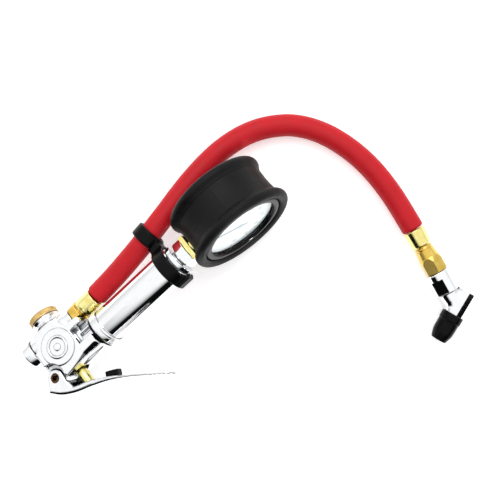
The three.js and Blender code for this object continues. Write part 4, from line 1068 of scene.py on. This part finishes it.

# %% [markdown]

# %% [markdown]
# ## Table and light
# The table is a white sheet. The light is a large soft box above and behind the tool, wrapped round
# by pale walls; low in front the studio is open and dark, and that gap is what draws the black
# streaks in the chrome. The sky is a small node tree in the world's own directions.

# %% White sheet on the table
SHEET_CENTRE = (0.0613, -0.0201)
SHEET_FRONT, SHEET_REACH = 0.19, 0.9
sheet = bpy.data.objects.new("sheet", bpy.data.meshes.new("sheet"))
corners = [(-SHEET_REACH, -SHEET_FRONT, 0), (SHEET_REACH, -SHEET_FRONT, 0), (SHEET_REACH, SHEET_REACH, 0),
           (-SHEET_REACH, SHEET_REACH, 0)]
sheet.data.from_pydata(corners, [], [(0, 1, 2, 3)])
sheet.data.transform(Matrix.Translation((*SHEET_CENTRE, 0)) @ Matrix.Rotation(-CAMERA_HEADING, 4, "Z"))
scene.collection.objects.link(sheet)
SHEET_GLOW = 0.4
paper, tree, shader = new_material("white_acrylic_sheet", Specular_IOR_Level=0.1, Emission_Strength=SHEET_GLOW)
shader.inputs["Emission Color"].default_value = linear("#FFFFFF")
tooth = grain(tree, 1.5, detail=3.0)
tree.links.new(tinted(tree, tooth, (0.3, "#FBFBFB"), (0.7, "#FDFDFD")), shader.inputs["Base Color"])
tree.links.new(between(tree, tooth, 0.85, 0.95), shader.inputs["Roughness"])
sheet.data.materials.append(paper)

# %% Studio sky
SKY_LIGHT = 1.08
FRONT = (-0.673, -0.738)
world = bpy.data.worlds.new("studio")
world.use_nodes = True
scene.world = world
tree = world.node_tree
tree.nodes.clear()
sky = add_node(tree, "ShaderNodeSeparateXYZ", {
    "Vector": add_node(tree, "ShaderNodeTexCoord").outputs["Generated"],
}).outputs


def math_node(operation, *values):
    return add_node(tree, "ShaderNodeMath", dict(enumerate(values)), operation=operation).outputs["Value"]


ahead = math_node("MULTIPLY_ADD", sky["X"], FRONT[0], math_node("MULTIPLY", sky["Y"], FRONT[1]))
flat = math_node("SQRT", math_node("SUBTRACT", 1.001, math_node("MULTIPLY", sky["Z"], sky["Z"])))
in_front = between(tree, math_node("DIVIDE", ahead, flat), 0.0, 1.0, 0.15, 0.5)
height = math_node("MULTIPLY_ADD", sky["X"], 0.35, sky["Z"])
open_side = tinted(tree, height, (0.4, "#0A0A0A"), (0.45, "#7C7C7C"), (0.51, "#AAAAAA"), (0.575, "#CFCFCF"),
                   (0.67, "#EEEEEE"), (0.75, "#FFFFFF"))
walls = tinted(tree, sky["Z"], (0.0, "#DCDCDC"), (0.55, "#FFFFFF"))
seen = add_node(tree, "ShaderNodeMix", {"Factor": in_front, 6: walls, 7: open_side}, data_type="RGBA").outputs[2]
to_camera = add_node(tree, "ShaderNodeLightPath").outputs["Is Camera Ray"]
seen = add_node(tree, "ShaderNodeMix", {"Factor": to_camera, 6: seen, 7: linear("#FFFFFF")}, data_type="RGBA")
background = add_node(tree, "ShaderNodeBackground", {"Color": seen.outputs[2], "Strength": SKY_LIGHT})
add_node(tree, "ShaderNodeOutputWorld", {"Surface": background.outputs["Background"]})

# %% Soft box
key = bpy.data.objects.new("soft_box", bpy.data.lights.new("soft_box", "AREA"))
key.data.shape = "DISK"
key.data.size = 0.9
key.data.energy = 4.0
key.location = (0.45, 0.5, 0.95)
key.rotation_euler = (Vector((0.02, 0, 0)) - key.location).to_track_quat("-Z", "Y").to_euler()
scene.collection.objects.link(key)

# %% Small spot on the dial
dial_out = (TOOL.to_3x3() @ Vector((0, -1, 0))).normalized()
dial_middle = TOOL @ Vector((118, -10, 0))
spot = bpy.data.objects.new("dial_spot", bpy.data.lights.new("dial_spot", "SPOT"))
spot.data.energy = 15.0
spot.data.spot_size = math.radians(6.6)
spot.data.spot_blend = 0.3
spot.data.shadow_soft_size = 0.03
spot.location = dial_middle + dial_out * 0.5
spot.rotation_euler = (-dial_out).to_track_quat("-Z", "Y").to_euler()
scene.collection.objects.link(spot)
scene.view_settings.view_transform = "Standard"
